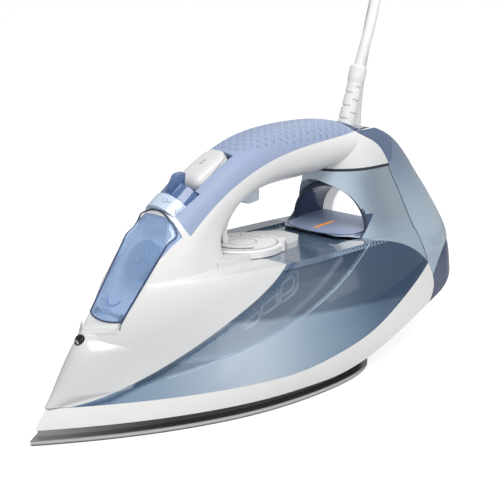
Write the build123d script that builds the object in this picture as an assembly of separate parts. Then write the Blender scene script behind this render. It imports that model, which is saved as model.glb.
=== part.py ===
from build123d import *
import os
from math import atan2, cos, degrees, pi, radians, sin, tan

# Steam iron. Millimetres, +Z up, standing on its soleplate. While the pieces are made,
# X runs from the nose tip (0) to the heel (LENGTH); write() centres them on X = 0.
# The near side is -Y and every casing is symmetric about Y = 0.

# --- driving dimensions ---------------------------------------------------------------
LENGTH = 324.0           # nose tip to heel
SOLE_LENGTH = 242.0
SOLE_HALF = 61.0         # half the width of the soleplate
SKIRT_LOW = 8.3          # lower edge of the white heat shield
SKIRT_HIGH = 18.8        # its upper edge along the front
DECK = 81.0              # top of the tank, where the dial and the tower stand
WALL = 2.4               # thickness of the moulded casings
GAP = 0.35               # running clearance between moving and fixed pieces
WIDE = 120.0             # half extent of the cutting slabs, wider than the iron

DIAL_X, DIAL_RADIUS, DIAL_TOP = 161.0, 25.5, 86.0
DIAL_THICK = 4.6
SPINDLE_RADIUS = 3.0

# Tunnel through the rear tower
TONGUE_LOW = 79.0        # underside of the white plateau that carries the dial
ARCH_HALF, ARCH_FLOOR, ARCH_SPRING, ARCH_TOP = 33.5, 82.0, 84.0, 112.0
MOUTH = 242.0            # where the flared entry of the tunnel ends and the dark lining starts
LINING = 2.6
PLATFORM_FRONT, PLATFORM_REAR = 226.0, 268.0

# Steam selector: its axis lies along the slope of the handle's front leg
SELECTOR_SLOPE = 36.0
SELECTOR_AXIS = (108.8, 114.1)
SELECTOR_RADIUS = 15.0
COLLAR_FROM, COLLAR_TO = -10.0, 0.0
SELECTOR_TO = 10.5

# Filling door: a panel of the front ridge, seen square on along its own plane
DOOR_FOOT = (49.0, 57.2)
DOOR_SLOPE = 53.0
DOOR_ROUND = 60.0        # radius of the front face across the iron
DOOR_THICK = 2.0

GASKET_Z = 122.0         # joint between the tower and the handle
GASKET_THICK = 1.8

CORD_DIAMETER = 7.0
BOOT_BASE = (256.0, 146.0)
BOOT_LEAN = 19.0         # degrees from vertical, towards the heel
BOOT_LENGTH = 42.0
BOOT_RADIUS = 5.6
BEZEL_RADIUS = 12.0


def write(name, shape):
    """Centre a piece on the middle of the iron and save it as its own STEP file."""
    os.makedirs("parts", exist_ok=True)
    export_step(Pos(-LENGTH / 2, 0, 0) * shape, f"parts/{name}.step")


# --- outlines and slabs ---------------------------------------------------------------
def closed_wire(near_points, start, end, tip=(0, -1, 0)):
    """Closed outline symmetric about Y = 0; tip is the direction in which it leaves start."""
    far_points = [(x, -y, z) for x, y, z in reversed(near_points)]
    near = Spline(start, *near_points, end, tangents=[tip, (0, 1, 0)])
    back = (-tip[0], tip[1], -tip[2])
    far = Spline(end, *far_points, start, tangents=[(0, 1, 0), back])
    return Wire([near, far])


def plan(z, nose, wide, rear, half, blunt, square=3.4, inset=0.0):
    """Horizontal outline: pointed or blunt towards the nose, square towards the heel.

    Half width ahead of x = wide is half * (1 - (1 - t)**1.87)**blunt, with t from 0 at
    the nose to 1 at wide; behind it the outline is a superellipse of power square.
    """
    nose, rear, half = nose + 1.7 * inset, rear - inset, half - inset
    points = []
    for i in range(1, 8):
        t = (i / 7) ** 1.7
        points.append((nose + t * (wide - nose), -half * (1 - (1 - t) ** 1.87) ** blunt, z))
    for i in range(1, 6):
        a = i / 6 * pi / 2
        x = wide + (rear - wide) * sin(a) ** (2 / square)
        points.append((x, -half * cos(a) ** (2 / square), z))
    t = 0.012
    step = (t * (wide - nose), -half * (1 - (1 - t) ** 1.87) ** blunt, 0)
    return closed_wire(points, (nose, 0, z), (rear, 0, z), step)


def oval(outer, inner, half, power, inset=0.0):
    """Superellipse across the handle; outer and inner are its (x, z) ends in the mid plane."""
    cx, cz = (outer[0] + inner[0]) / 2, (outer[1] + inner[1]) / 2
    ux, uz = (outer[0] - inner[0]) / 2, (outer[1] - inner[1]) / 2
    shrink = 1 - inset / (ux * ux + uz * uz) ** 0.5
    half -= inset
    points = []
    for i in range(1, 8):
        a = i / 8 * pi
        along = abs(cos(a)) ** (2 / power) * (1 if a < pi / 2 else -1) * shrink
        points.append((cx + ux * along, -half * sin(a) ** (2 / power), cz + uz * along))
    start = (cx + ux * shrink, 0, cz + uz * shrink)
    end = (cx - ux * shrink, 0, cz - uz * shrink)
    return closed_wire(points, start, end)


def slab(*edges, half=WIDE):
    """Everything between -half and half in Y inside a closed outline in the X-Z plane."""
    return extrude(make_face(list(edges)), amount=half, dir=(0, 1, 0), both=True)


def line(*points):
    return Polyline(*[(x, 0, z) for x, z in points])


def curve(*points):
    return Spline(*[(x, 0, z) for x, z in points])


def block(x, y, z):
    """Box given by its lowest and highest corners."""
    size = [b - a for a, b in (x, y, z)]
    middle = [(a + b) / 2 for a, b in (x, y, z)]
    return Pos(*middle) * Box(*size)


def post(x, y, z_from, z_to, radius):
    """Upright cylinder."""
    return Pos(x, y, (z_from + z_to) / 2) * Cylinder(radius, z_to - z_from)


def largest(shape):
    """The biggest solid of a shape, without the crumbs left where cuts meet."""
    return shape.solids().sort_by(SortBy.VOLUME)[-1]


def both_sides(shape):
    return shape + mirror(shape, Plane.XZ)


# --- the outer form -------------------------------------------------------------------
REAR = LENGTH + 12         # the plans run past the heel and its side profile trims them
BODY_LEVELS = (            # z, nose, widest, rear, half width, bluntness of the nose
    (SKIRT_LOW - 4, 1.0, 158, REAR, 60.6, 1.0),
    (SKIRT_LOW, 3.5, 160, REAR, 61.5, 1.0),
    (SKIRT_HIGH, 11.0, 162, REAR, 62.0, 1.0),
    (32.0, 23.5, 166, REAR, 60.5, 0.93),
    (47.0, 33.0, 170, REAR, 57.5, 0.84),
    (62.0, 40.5, 174, REAR, 53.8, 0.77),
    (73.0, 47.0, 176, 333.0, 50.0, 0.70),
    (DECK, 52.5, 178, 330.0, 46.0, 0.66),
)
TOWER_LEVELS = (           # z, front, widest, rear, half width
    (66.0, 178.0, 262, 333.0, 46.0),
    (76.0, 200.0, 262, 331.0, 44.0),
    (84.0, 216.0, 262, 328.0, 40.5),
    (93.0, 222.5, 261, 324.0, 36.5),
    (106.0, 225.0, 258, 317.0, 31.0),
    (GASKET_Z, 227.5, 254, 307.0, 25.5),
)
NECK_LEVELS = (
    (GASKET_Z, 227.5, 254, 307.0, 25.5),
    (131.0, 228.0, 252, 300.0, 23.0),
    (139.0, 230.0, 250, 293.0, 20.5),
    (147.0, 234.0, 248, 282.0, 17.0),
)
HANDLE_SECTIONS = (        # outer end, inner end, half width, power of the superellipse
    ((51.0, 78.0), (150.0, 74.0), 23.5, 2.0),
    ((63.0, 92.0), (140.0, 90.0), 23.3, 2.0),
    ((78.0, 105.5), (140.5, 101.0), 22.0, 2.0),
    ((95.0, 117.5), (147.5, 110.0), 21.0, 2.1),
    ((114.5, 128.8), (157.0, 116.2), 20.3, 2.3),
    ((136.5, 141.8), (169.0, 119.8), 20.0, 2.3),
    ((159.5, 151.0), (182.0, 121.4), 19.7, 2.3),
    ((186.0, 155.3), (198.0, 121.8), 19.7, 2.3),
    ((214.0, 156.0), (216.0, 122.5), 19.8, 2.3),
    ((238.0, 154.0), (236.0, 124.0), 20.0, 2.3),
    ((262.0, 147.0), (256.0, 124.0), 19.0, 2.3),
)
HEEL_CURVE = ((296, 35), (308, 38.5), (319, 46.5), (LENGTH, 59), (322.5, 71), (315, 93),
              (303, 115), (286, 137), (270, 146), (256, 150.5))


def body(inset=0.0):
    """Boat-shaped lower body as a stack of plans, cut to the heel's side profile."""
    drop = inset if inset else 0.0
    levels = [plan(z - (drop if z == DECK else 0), *level, inset=inset)
              for z, *level in BODY_LEVELS]
    return Solid.make_loft(levels) & under_heel(inset)


def tower(inset=0.0):
    levels = [plan(z, nose, wide, rear, half, 0.5, 3.4, inset)
              for z, nose, wide, rear, half in TOWER_LEVELS]
    return Solid.make_loft(levels) & under_heel(inset)


def neck(inset=0.0):
    levels = [plan(z, nose, wide, rear, half, 0.5, 3.4, inset)
              for z, nose, wide, rear, half in NECK_LEVELS]
    return Solid.make_loft(levels) & under_heel(inset)


def handle(inset=0.0):
    return Solid.make_loft([oval(*section, inset=inset) for section in HANDLE_SECTIONS])


def under_heel(inset=0.0):
    """Side profile that limits the underside and the back of the iron."""
    bottom = line((-10, SKIRT_LOW + inset), (172, SKIRT_LOW + inset))
    rise = curve((172, SKIRT_LOW + inset), (196, 10.5 + inset), (211, 13.5 + inset),
                 (240, 21.5 + inset), (268, 29.5 + inset), (296 - inset, 35 + inset))
    heel = curve(*[(x - inset, z + (inset if z < 45 else 0)) for x, z in HEEL_CURVE])
    last = (HEEL_CURVE[-1][0] - inset, HEEL_CURVE[-1][1])
    roof = line(last, (last[0], 175), (-10, 175), (-10, SKIRT_LOW + inset))
    return slab(bottom, rise, heel, roof)


# --- seams between the casings, seen from the side -----------------------------------------
SKIRT_SEAM = ((130, SKIRT_HIGH), (165, 20.3), (187, 23.3), (211, 27.8), (237, 36.5), (284, 57.5))
FRONT_SEAM = ((8, SKIRT_HIGH - 1.3), (40, 23.5), (67, 34.5), (106, 54.5), (141, 72.5), (166, DECK + 8))
SHOULDER_SEAM = ((178, DECK + 3.2), (230, DECK + 0.5), (262, 73.5), (284, 57.5))
HEEL_SEAM = ((284, 57.5), (287, 51), (288.5, 44), (278, 31), (272, 20))
COVER_SEAM = ((284, 57.5), (283, 66), (278.5, 84), (275.5, 106), (272, 122), (265, 136),
              (247, 147), (240, 160))
GRIP_SEAM = ((60, 100), (97, 100), (125.5, 120.5), (166, 137.5), (213, 144.5), (247, 147))
WINDOW_SEAM = ((30, 21.5), (70, 29.5), (128, 42), (172, 55), (204, 68), (232, DECK + 1))


def above_skirt():
    return slab(line((-10, SKIRT_HIGH), (130, SKIRT_HIGH)), curve(*SKIRT_SEAM),
                line(SKIRT_SEAM[-1], (400, 57.5), (400, 200), (-10, 200), (-10, SKIRT_HIGH)))


def front_region():
    """Ahead of the seam between the white housing and the tank."""
    first, last = FRONT_SEAM[0], FRONT_SEAM[-1]
    return slab(curve(*FRONT_SEAM), line(last, (last[0], 200), (-10, 200), (-10, first[1]), first))


def above_grip_seam():
    """Soft top of the handle, ahead of its slanted rear end."""
    first, last = GRIP_SEAM[0], GRIP_SEAM[-1]
    return slab(line(first, GRIP_SEAM[1]), curve(*GRIP_SEAM[1:]),
                line(last, (240, 160), (240, 200), (first[0], 200), first))


def above_window_seam():
    first, last = WINDOW_SEAM[0], WINDOW_SEAM[-1]
    return slab(curve(*WINDOW_SEAM), line(last, (last[0], 120), (first[0], 120), first))


def behind_cover_seam():
    """Behind the seam of the back cover, down to the heel's underside."""
    cover = curve(*COVER_SEAM)
    heel = curve(*HEEL_SEAM)
    top, low = COVER_SEAM[-1], HEEL_SEAM[-1]
    return slab(heel, cover, line(top, (top[0], 200), (400, 200), (400, low[1]), low))


def above_shoulder():
    first, last = SHOULDER_SEAM[0], SHOULDER_SEAM[-1]
    return slab(curve(*SHOULDER_SEAM),
                line(last, (400, last[1]), (400, 200), (first[0], 200), first))


# --- soleplate and what is bolted to it ------------------------------------------------------
SOLE_WIDE = 156.0        # where the soleplate is widest
PLATE_TOP = 3.4
CASTING_TOP = 14.0
ELEMENT_Z = CASTING_TOP + 4.1


def sole_reach(x):
    """Half width of the soleplate ahead of its widest place."""
    return SOLE_HALF * (1 - (1 - min(x / SOLE_WIDE, 1)) ** 1.87)


def sole_slice(z_from, z_to, inset=0.0):
    face = Face(plan(z_from, 0, SOLE_WIDE, SOLE_LENGTH, SOLE_HALF, 1.0, 3.0, inset))
    return extrude(face, z_to - z_from, dir=(0, 0, 1))


def soleplate():
    """Polished plate with its steam holes, under a narrower casting."""
    plate = sole_slice(0, PLATE_TOP)
    plate = chamfer(plate.edges().group_by(Axis.Z)[0], 0.8)
    metal = plate + sole_slice(PLATE_TOP, 7.9, 3.0) + sole_slice(7.9, CASTING_TOP, 11.0)
    holes = []
    for x in range(38, 204, 15):
        edge = max(sole_reach(x) - 17, 4.0)
        holes += [post(x, side * edge, -1, 4, 1.4) for side in (-1, 1)]
        if edge > 12:
            holes += [post(x + 7, side * (edge - 9), -1, 4, 1.1) for side in (-1, 1)]
    return metal - holes


def heating_element():
    """Horseshoe tube lying on the casting, with a contact pin at each end."""
    half = 27.0
    path = FilletPolyline((205, -half, ELEMENT_Z), (104, -half, ELEMENT_Z), (66, 0, ELEMENT_Z),
                          (104, half, ELEMENT_Z), (205, half, ELEMENT_Z), radius=20)
    tube = sweep(Plane(path @ 0, z_dir=path % 0) * Circle(4.0), path)
    pin = Pos(209, -half, ELEMENT_Z) * Rot(0, 90, 0) * Cylinder(1.6, 8)
    return tube + both_sides(pin)


def steam_chamber_cover():
    """Tray upside down over the element, which closes the steam chamber."""
    tray = sole_slice(CASTING_TOP, 27.0, 14.0) - sole_slice(CASTING_TOP - 1, 24.8, 16.2)
    return tray - post(DIAL_X, 0, 20, 30, 10.0) - post(118, 0, 20, 30, 2.4)


def thermostat():
    can = post(DIAL_X, 0, CASTING_TOP, 26.0, 9.0) + post(DIAL_X, 0, 26.0, 30.0, 5.0)
    lugs = both_sides(block((DIAL_X - 3, DIAL_X + 3), (-14, -8), (20, 21.2)))
    return can + lugs - post(DIAL_X, 0, 28, 31, SPINDLE_RADIUS + 0.05)


def dosing_valve():
    """Brass drip valve between the tank's floor and the steam chamber."""
    body_ = post(118, 0, 27.0, 33.0, 6.0) + post(118, 0, 22.0, 27.0, 2.3)
    return body_ - post(118, 0, 21, 34, 0.9)


def thermal_fuse():
    return Pos(196, 0, CASTING_TOP + 3.2) * Rot(90, 0, 0) * Cylinder(3.0, 22)


# --- casings -----------------------------------------------------------------------------------
def heat_shield(low, low_in, upper):
    """White skirt: the lowest band of the body, open over the soleplate's casting."""
    band = low - upper - behind_cover_seam()
    return band - low_in - sole_slice(5.0, 30.0, 9.5)


def tank_room():
    """Side view of the water space, one wall clear of every seam."""
    return slab(line((86, 38.0), (122, 56.5), (146, 69.5), (158, TONGUE_LOW - WALL),
                     (220, TONGUE_LOW - WALL), (252, 69.0), (276, 52), (268, 38.0), (86, 38.0)))


def window_panels(tank_form, low_in):
    """Clear upper panels of the tank, one each side, ahead of a curved seam."""
    skin = (tank_form & above_window_seam()) - low_in
    return skin & block((-10, 300), (-WIDE, WIDE), (0, DECK - 3.0))


def water_tank(tank_form, low_in, panels):
    below = low_in & block((-10, 400), (-WIDE, WIDE), (0, 35.6))
    tank = tank_form - panels - below
    tank -= low_in & tank_room()
    tank += post(DIAL_X, 0, 36.0, DECK, SPINDLE_RADIUS + 3.0)
    tank -= post(DIAL_X, 0, 30, DECK + 1, SPINDLE_RADIUS + 1.2) + tongue()
    return tank - arch(ARCH_HALF, ARCH_FLOOR - LINING, ARCH_TOP)


def tongue():
    """Tapered plateau that carries the dial behind the handle's front leg."""
    half, end = 23.5, 203.0    # half width and rear end
    outline = Polyline((120, -half), (160, -half), (end - 12, -half * 0.8), (end, -half * 0.35),
                       (end, half * 0.35), (end - 12, half * 0.8), (160, half), (120, half),
                       (120, -half))
    plate = extrude(Pos(0, 0, TONGUE_LOW) * make_face(outline), DECK + 3.6 - TONGUE_LOW)
    return fillet(plate.edges().filter_by(Axis.Z).sort_by(Axis.X)[-4:], 6.0)


# --- the front ridge: filling door and its pocket ----------------------------------------------
HINGE_S, HINGE_HEIGHT = 10.0, -4.6
DOOR_OUTLINE = (4.1, 75.0, 14.6, 19.4)       # foot and head up the slope, half widths there
RECESS_OUTLINE = (3.0, 75.6, 15.2, 20.0)     # the shallow step that the door lies in
POCKET_OUTLINE = (6.0, 73.0, 12.0, 16.2)     # the deep room under it
RIM_OUTLINE = (0.8, 77.6, 17.2, 22.0)
POCKET_DEPTH = 17.0


def ridge_plane(height=0.0):
    """Plane of the door; X up the slope from its foot, Z out of the iron."""
    slope = radians(DOOR_SLOPE)
    plane = Plane(origin=(DOOR_FOOT[0], 0, DOOR_FOOT[1]), x_dir=(cos(slope), 0, sin(slope)),
                  z_dir=(-sin(slope), 0, cos(slope)))
    return plane.offset(height)


def on_ridge(s, height):
    """Place a piece on the door's plane, s up the slope and height above it."""
    return ridge_plane() * Pos(s, 0, height)


def ridge_cut():
    """What is cut off the front, so that the door lies in a gently rounded face."""
    slope = radians(DOOR_SLOPE)
    x, z = DOOR_FOOT
    deep = 9.0
    low = (x + 4 * cos(slope) + deep * sin(slope), z + 4 * sin(slope) - deep * cos(slope))
    high = (low[0] + 73 * cos(slope), low[1] + 73 * sin(slope))
    wedge = slab(line((20, 55.5), (37.5, 58.3), (x + 1.4, z + 2.3), low, high,
                      (high[0] - 30, high[1] + 40), (20, 160), (20, 55.5)))
    return wedge - ridge_plane(-DOOR_ROUND) * Rot(0, 90, 0) * Cylinder(DOOR_ROUND, 260)


def ridge_prism(low_s, high_s, half_low, half_high, depth=26.0, above=26.0):
    """Prism square to the door's plane, from depth under it to above it."""
    knee, corner = low_s + 3.0, high_s - 10.0
    foot = ThreePointArc((knee, half_low), (low_s, 0), (knee, -half_low))
    near = Line((knee, -half_low), (corner, -half_high))
    head = ThreePointArc((corner, -half_high), (high_s, 0), (corner, half_high))
    far = Line((corner, half_high), (knee, half_low))
    plane = ridge_plane(-depth)
    return extrude(plane * make_face([foot, near, head, far]), depth + above, dir=plane.z_dir)


def sink(shape, depth):
    """Move a shape into the iron, square to the door."""
    return Pos(*(ridge_plane().z_dir * -depth)) * shape


def hinge_rod(radius, length):
    return on_ridge(HINGE_S, HINGE_HEIGHT) * Rot(90, 0, 0) * Cylinder(radius, length)


def door_pocket(ridge):
    """Step for the door, the room under it, and space for the door's foot to swing."""
    step = ridge_prism(*RECESS_OUTLINE, 15.0) - sink(ridge, DOOR_THICK + 0.3)
    swing = hinge_rod(7.7, 2 * RECESS_OUTLINE[2]) - on_ridge(0, 9.0) * Box(200, 80, 20)
    room = step + ridge_prism(*POCKET_OUTLINE, POCKET_DEPTH) + swing
    return room - drum(COLLAR_FROM - 2.6, 30, SELECTOR_RADIUS + 3)


def pocket_wall():
    wall = ridge_prism(3.0, 76.0, 14.4, 18.6, POCKET_DEPTH + 2.2)
    return wall + hinge_rod(9.9, 2 * RECESS_OUTLINE[2] + 4)


def filling_door(ridge):
    skin = (ridge & ridge_prism(*DOOR_OUTLINE)) - sink(ridge, DOOR_THICK)
    lugs = [Pos(0, y, 0) * hinge_rod(2.3, 5.0) for y in (-8, 8)]
    webs = [Pos(0, y, 0) * on_ridge(HINGE_S, -2.9) * Box(3.6, 5.0, 3.4) for y in (-8, 8)]
    skin += lugs + webs
    return skin - hinge_rod(1.35, 40) - drum(COLLAR_FROM - 3.0, 30, SELECTOR_RADIUS + 3.4)


def hinge_pin():
    return hinge_rod(1.0, 2 * RECESS_OUTLINE[2] + 3.0)


def door_plug():
    """Clear stopper under the door that closes the filling hole."""
    stalk = Pos(0, 0, 3.0) * Cylinder(4.5, 3.4)
    disc = Cylinder(11.6, 3.0)
    shaft = Pos(0, 0, -4.3) * Cylinder(5.4, 5.6)
    return on_ridge(46.5, -6.9) * (stalk + disc + shaft)


def inlet_funnel():
    """Clear ring at the bottom of the pocket around the filling hole."""
    ring = Cylinder(12.4, 5.0) - Cylinder(7.6, 6.0)
    return on_ridge(46.5, -POCKET_DEPTH + 2.5) * ring


# --- controls on the front leg ------------------------------------------------------------------
BOOST_HALF = 10.6
BOOST_SIDE = ((117.5, 124.5), (119, 132.5), (122.5, 136.4), (133, 142.2), (141.5, 146.6),
              (145.6, 140.9), (117.5, 124.5))
BOOST_SEAT = ((104, 108), (104, 160), (142, 160), (142, 146.9), (148.3, 138.3), (119.6, 121.6),
              (104, 108))
BOOST_STEM = (132.0, 134.0)   # where the axis of the stem crosses the key's underside
TRIGGER_X = 164.5


def selector_plane(along):
    """Plane square to the selector's axis; along is measured up the leg."""
    slope = radians(SELECTOR_SLOPE)
    x, z = SELECTOR_AXIS
    return Plane(origin=(x + along * cos(slope), 0, z + along * sin(slope)),
                 x_dir=(0, 1, 0), z_dir=(cos(slope), 0, sin(slope)))


def drum(start, end, radius, bore=0.0):
    """Cylinder or ring on the selector's axis."""
    disc = Circle(radius) - Circle(bore) if bore else Circle(radius)
    return extrude(selector_plane(start) * disc, end - start)


def steam_selector():
    """Clear rotary drum with a finger lever standing on it."""
    side = line((101, 120), (101.6, 129), (105.6, 136.2), (107.4, 137.0), (112.4, 137.2),
                (112.4, 131), (110, 122), (101, 120))
    lever = slab(side, half=2.2) - drum(-4, 12, 9.0)
    lever = lever - (drum(-20, COLLAR_TO + 0.4, 40))
    turned = lever.rotate(Axis((SELECTOR_AXIS[0], 0, SELECTOR_AXIS[1]),
                               selector_plane(0).z_dir), 9)
    return drum(COLLAR_TO + 0.4, SELECTOR_TO, SELECTOR_RADIUS - 0.6, 4.5) + turned


def selector_shaft():
    """Fixed pin on the housing that the selector turns on."""
    return drum(COLLAR_FROM - 2.6, SELECTOR_TO + 0.5, 4.0)


def collar_ring():
    ring = drum(COLLAR_FROM, COLLAR_TO, SELECTOR_RADIUS, SELECTOR_RADIUS - 2.0)
    return ring + drum(COLLAR_FROM, COLLAR_FROM + 2.0, SELECTOR_RADIUS - 1.9, 4.0)


def along_stem(depth):
    """Centre line of the boost key's stem, depth below the key, pointing into the iron."""
    slope = radians(SELECTOR_SLOPE)
    x, z = BOOST_STEM
    origin = (x + depth * sin(slope), 0, z - depth * cos(slope))
    return Plane(origin=origin, x_dir=(0, 1, 0), z_dir=(sin(slope), 0, -cos(slope)))


def boost_button():
    """Wedge-shaped key with a guide stem down to the pump."""
    wedge = slab(line(*BOOST_SIDE), half=BOOST_HALF)
    wedge = fillet(wedge.edges().filter_by(Axis.Y).group_by(Axis.Z)[-1], 1.0)
    return wedge + extrude(along_stem(-2.0) * Circle(3.0), 16.0)


def trough():
    """Channel between the grip's rails for the collar, the selector and the key."""
    drums = drum(COLLAR_FROM, SELECTOR_TO + 1.2, SELECTOR_RADIUS)
    return drums + slab(line(*BOOST_SEAT), half=BOOST_HALF + GAP)


def trough_wall():
    shell = drum(COLLAR_FROM - 2.6, SELECTOR_TO + 3.6, SELECTOR_RADIUS + WALL)
    bed = line((104, 105), (104, 130), (142, 150), (150.5, 139), (121, 118.5), (104, 105))
    return shell + slab(bed, half=BOOST_HALF + WALL)


def pump_body():
    """Cylinder of the steam-boost pump under the key."""
    shell = extrude(along_stem(12.0) * Circle(6.4), 10.0)
    return shell - extrude(along_stem(11.0) * Circle(3.5), 8.5)


def trigger_window(grow=0.0):
    return block((TRIGGER_X - 7.6 - grow, TRIGGER_X + 7.6 + grow), (-5.6 - grow, 5.6 + grow),
                 (106, 127))


def steam_trigger():
    """Finger trigger under the handle with a guide stem."""
    x = TRIGGER_X
    side = line((x - 7, 113.5), (x - 2, 110.4), (x + 6, 111.4), (x + 7, 113.0), (x + 7, 124.5),
                (x - 7, 124.5), (x - 7, 113.5))
    blade = slab(side, half=5.0)
    blade = fillet(blade.edges().filter_by(Axis.Y).group_by(Axis.Z)[0], 1.0)
    flange = block((x - 9.5, x + 9.5), (-7.5, 7.5), (124.5, 126.5))
    return blade + flange + block((x - 2.5, x + 2.5), (-2.5, 2.5), (126, 136))


def temperature_dial():
    """Dial with a finger tab on its rim and a spindle down to the thermostat."""
    disc = post(DIAL_X, 0, DIAL_TOP - DIAL_THICK, DIAL_TOP, DIAL_RADIUS)
    disc = chamfer(disc.edges().group_by(Axis.Z)[-1], 0.7)
    tab = block((DIAL_RADIUS - 3.0, DIAL_RADIUS + 1.5), (-4, 4), (DIAL_TOP - DIAL_THICK, DIAL_TOP + 2.2))
    return disc + Pos(DIAL_X, 0, 0) * Rot(0, 0, -52) * fillet(tab.edges().filter_by(Axis.Z), 1.2)


def dial_spindle():
    return post(DIAL_X, 0, 30.0, DIAL_TOP - DIAL_THICK, SPINDLE_RADIUS)


def nozzle_bore(radius, start, length):
    """Cylinder on the axis of the spray nozzle, which points forwards and a little up."""
    tilt = radians(20)
    plane = Plane(origin=(37.7 + start * cos(tilt), 0, 53.0 - start * sin(tilt)),
                  x_dir=(0, 1, 0), z_dir=(cos(tilt), 0, -sin(tilt)))
    return extrude(plane * Circle(radius), length)


def spray_nozzle():
    tube = nozzle_bore(3.6, 3.0, 9.0)
    return tube - nozzle_bore(2.4, 2.0, 3.0) - nozzle_bore(0.7, 2.0, 12.0)


# --- housing and grip ------------------------------------------------------------------------------
def housing_form(nose, grip, throat, top):
    """Solid outer form: nose, front leg, dial's plateau, underside of the handle and neck."""
    neck_part = throat & block((-10, 400), (-WIDE, WIDE), (GASKET_Z + GASKET_THICK, 200))
    deck = block((-10, 400), (-WIDE, WIDE), (0, DECK)) - front_region()
    bow = (grip - deck) + neck_part
    return (nose + (bow - behind_cover_seam() - top)) + tongue()


def housing(form, ridge, low_in, grip_in, throat_in):
    room = low_in & front_region() & block((-10, 400), (-WIDE, WIDE), (0, DECK - 4.0))
    room += grip_in & block((-10, 300), (-WIDE, WIDE), (DECK - 6.0, 200))
    room += throat_in
    sill = trigger_window(1.8) & block((0, 200), (-WIDE, WIDE), (100, 122))
    walls = (pocket_wall() + trough_wall() + sill) & form
    shell = (form - room) + walls
    shell -= door_pocket(ridge) + trough()
    shell += selector_shaft()
    shell -= post(DIAL_X, 0, DIAL_TOP - DIAL_THICK - 0.6, DIAL_TOP + 4.4, DIAL_RADIUS + 2.4)
    shell -= post(DIAL_X, 0, 60, DECK + 10, SPINDLE_RADIUS + 1.2)
    shell -= nozzle_bore(3.6, -20.0, 60.0)
    shell -= trigger_window() + hinge_pin() + boot_post(-12, 30, BEZEL_RADIUS)
    shell -= block((205, 300), (-WIDE, WIDE), (GASKET_Z - 2, GASKET_Z + GASKET_THICK)) & neck()
    return largest(shell - extrude(along_stem(-6) * Circle(3.4), 16.0))


def grip_top(grip, top, grip_in):
    skin = (grip & top) - (grip_in & block((150, 245), (-WIDE, WIDE), (0, 200)))
    skin -= extrude(along_stem(5.0) * Circle(6.9), 20.0) + extrude(along_stem(-6) * Circle(3.4), 16.0)
    return largest(skin - trough() - boot_post(-14, 30, BEZEL_RADIUS) - behind_cover_seam())


# --- rear tower and the tunnel through it ------------------------------------------------------------
def arch_plane(x):
    return Plane(origin=(x, 0, 0), x_dir=(0, 1, 0), z_dir=(1, 0, 0))


def arch_outline(half, floor, crown):
    """Half an ellipse on short upright sides."""
    turns = [radians(22.5 * i) for i in range(9)]
    points = [(half * cos(a), ARCH_SPRING + (crown - ARCH_SPRING) * sin(a)) for a in turns]
    crest = Spline(*points, tangents=[(0, 1), (0, -1)])
    return [crest, Polyline((-half, ARCH_SPRING), (-half, floor), (half, floor), (half, ARCH_SPRING))]


def arch(half, floor, crown, x_from=196.0, x_to=400.0):
    """Prism of the tunnel's outline along X."""
    face = arch_plane(x_from) * make_face(arch_outline(half, floor, crown))
    return extrude(face, x_to - x_from, dir=(1, 0, 0))


def mouth(grow):
    """Entry of the tunnel, which widens towards the nose."""
    floor = ARCH_FLOOR - LINING
    deep = make_face(arch_outline(ARCH_HALF + grow, floor, ARCH_TOP + grow))
    wide = make_face(arch_outline(ARCH_HALF + 4 + grow, floor, ARCH_TOP + 9 + grow))
    return loft([arch_plane(MOUTH) * deep, arch_plane(206.0) * wide], ruled=True)


def tunnel_ring(x_from, x_to):
    outer = arch(ARCH_HALF, ARCH_FLOOR - LINING, ARCH_TOP, x_from, x_to)
    return outer - arch(ARCH_HALF - LINING, ARCH_FLOOR, ARCH_TOP - LINING, x_from, x_to)


def rear_bore(grow):
    """Narrower part of the tunnel, which opens at the heel."""
    return arch(22.4 + grow, ARCH_FLOOR - grow, 106.4 + grow, PLATFORM_REAR - 2 + grow)


def rear_tower(form, inner):
    outer = form - behind_cover_seam()
    shell = (outer - inner) + (mouth(WALL) & outer)
    return largest(shell - mouth(0.0) - arch(ARCH_HALF, ARCH_FLOOR - LINING, ARCH_TOP))


def tunnel_lining(tower_form):
    floor = block((222, MOUTH + 1), (-ARCH_HALF, ARCH_HALF), (ARCH_FLOOR - LINING, ARCH_FLOOR))
    return (tunnel_ring(MOUTH, PLATFORM_REAR) + floor) & tower_form


def rear_liner(tower_form, back_form):
    """White throat that narrows the tunnel behind the platform."""
    step = arch(ARCH_HALF, ARCH_FLOOR - LINING, ARCH_TOP, PLATFORM_REAR, 300.0) & tower_form
    sleeve = rear_bore(LINING) & back_form
    return (step + sleeve) - rear_bore(0.0)


def light_platform(tower_form):
    """Sloping shelf on the tunnel's floor for the indicator light."""
    side = slab(line((222, ARCH_FLOOR), (222, ARCH_FLOOR + 0.2), (PLATFORM_REAR, ARCH_FLOOR + 3.2),
                     (PLATFORM_REAR, ARCH_FLOOR), (222, ARCH_FLOOR)), half=ARCH_HALF - LINING)
    return (side & tower_form) - light_bar()


def light_bar():
    slope = degrees(atan2(3.0, PLATFORM_REAR - 222))
    return Pos(239, 2.8, ARCH_FLOOR + 1.0) * Rot(0, -slope, 0) * Box(18, 3.2, 0.8)


def cover_form(low, tall, throat):
    return (low + tall + throat) & behind_cover_seam()


def back_cover(form, hollow):
    shell = form - hollow - heel_region() - rear_bore(LINING)
    return shell - boot_post(-14, 30, BEZEL_RADIUS)


def heel_plate(form, hollow):
    return (form & heel_region()) - hollow


def heel_region():
    """Navy heel under a slanted line."""
    return slab(line((262, 30), (291, 50), (330, 77), (400, 77), (400, 0), (262, 0), (262, 30)))


def handle_gasket(throat, throat_in):
    band = throat & block((-10, 400), (-WIDE, WIDE), (GASKET_Z, GASKET_Z + GASKET_THICK))
    return band - throat_in - behind_cover_seam()


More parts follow.
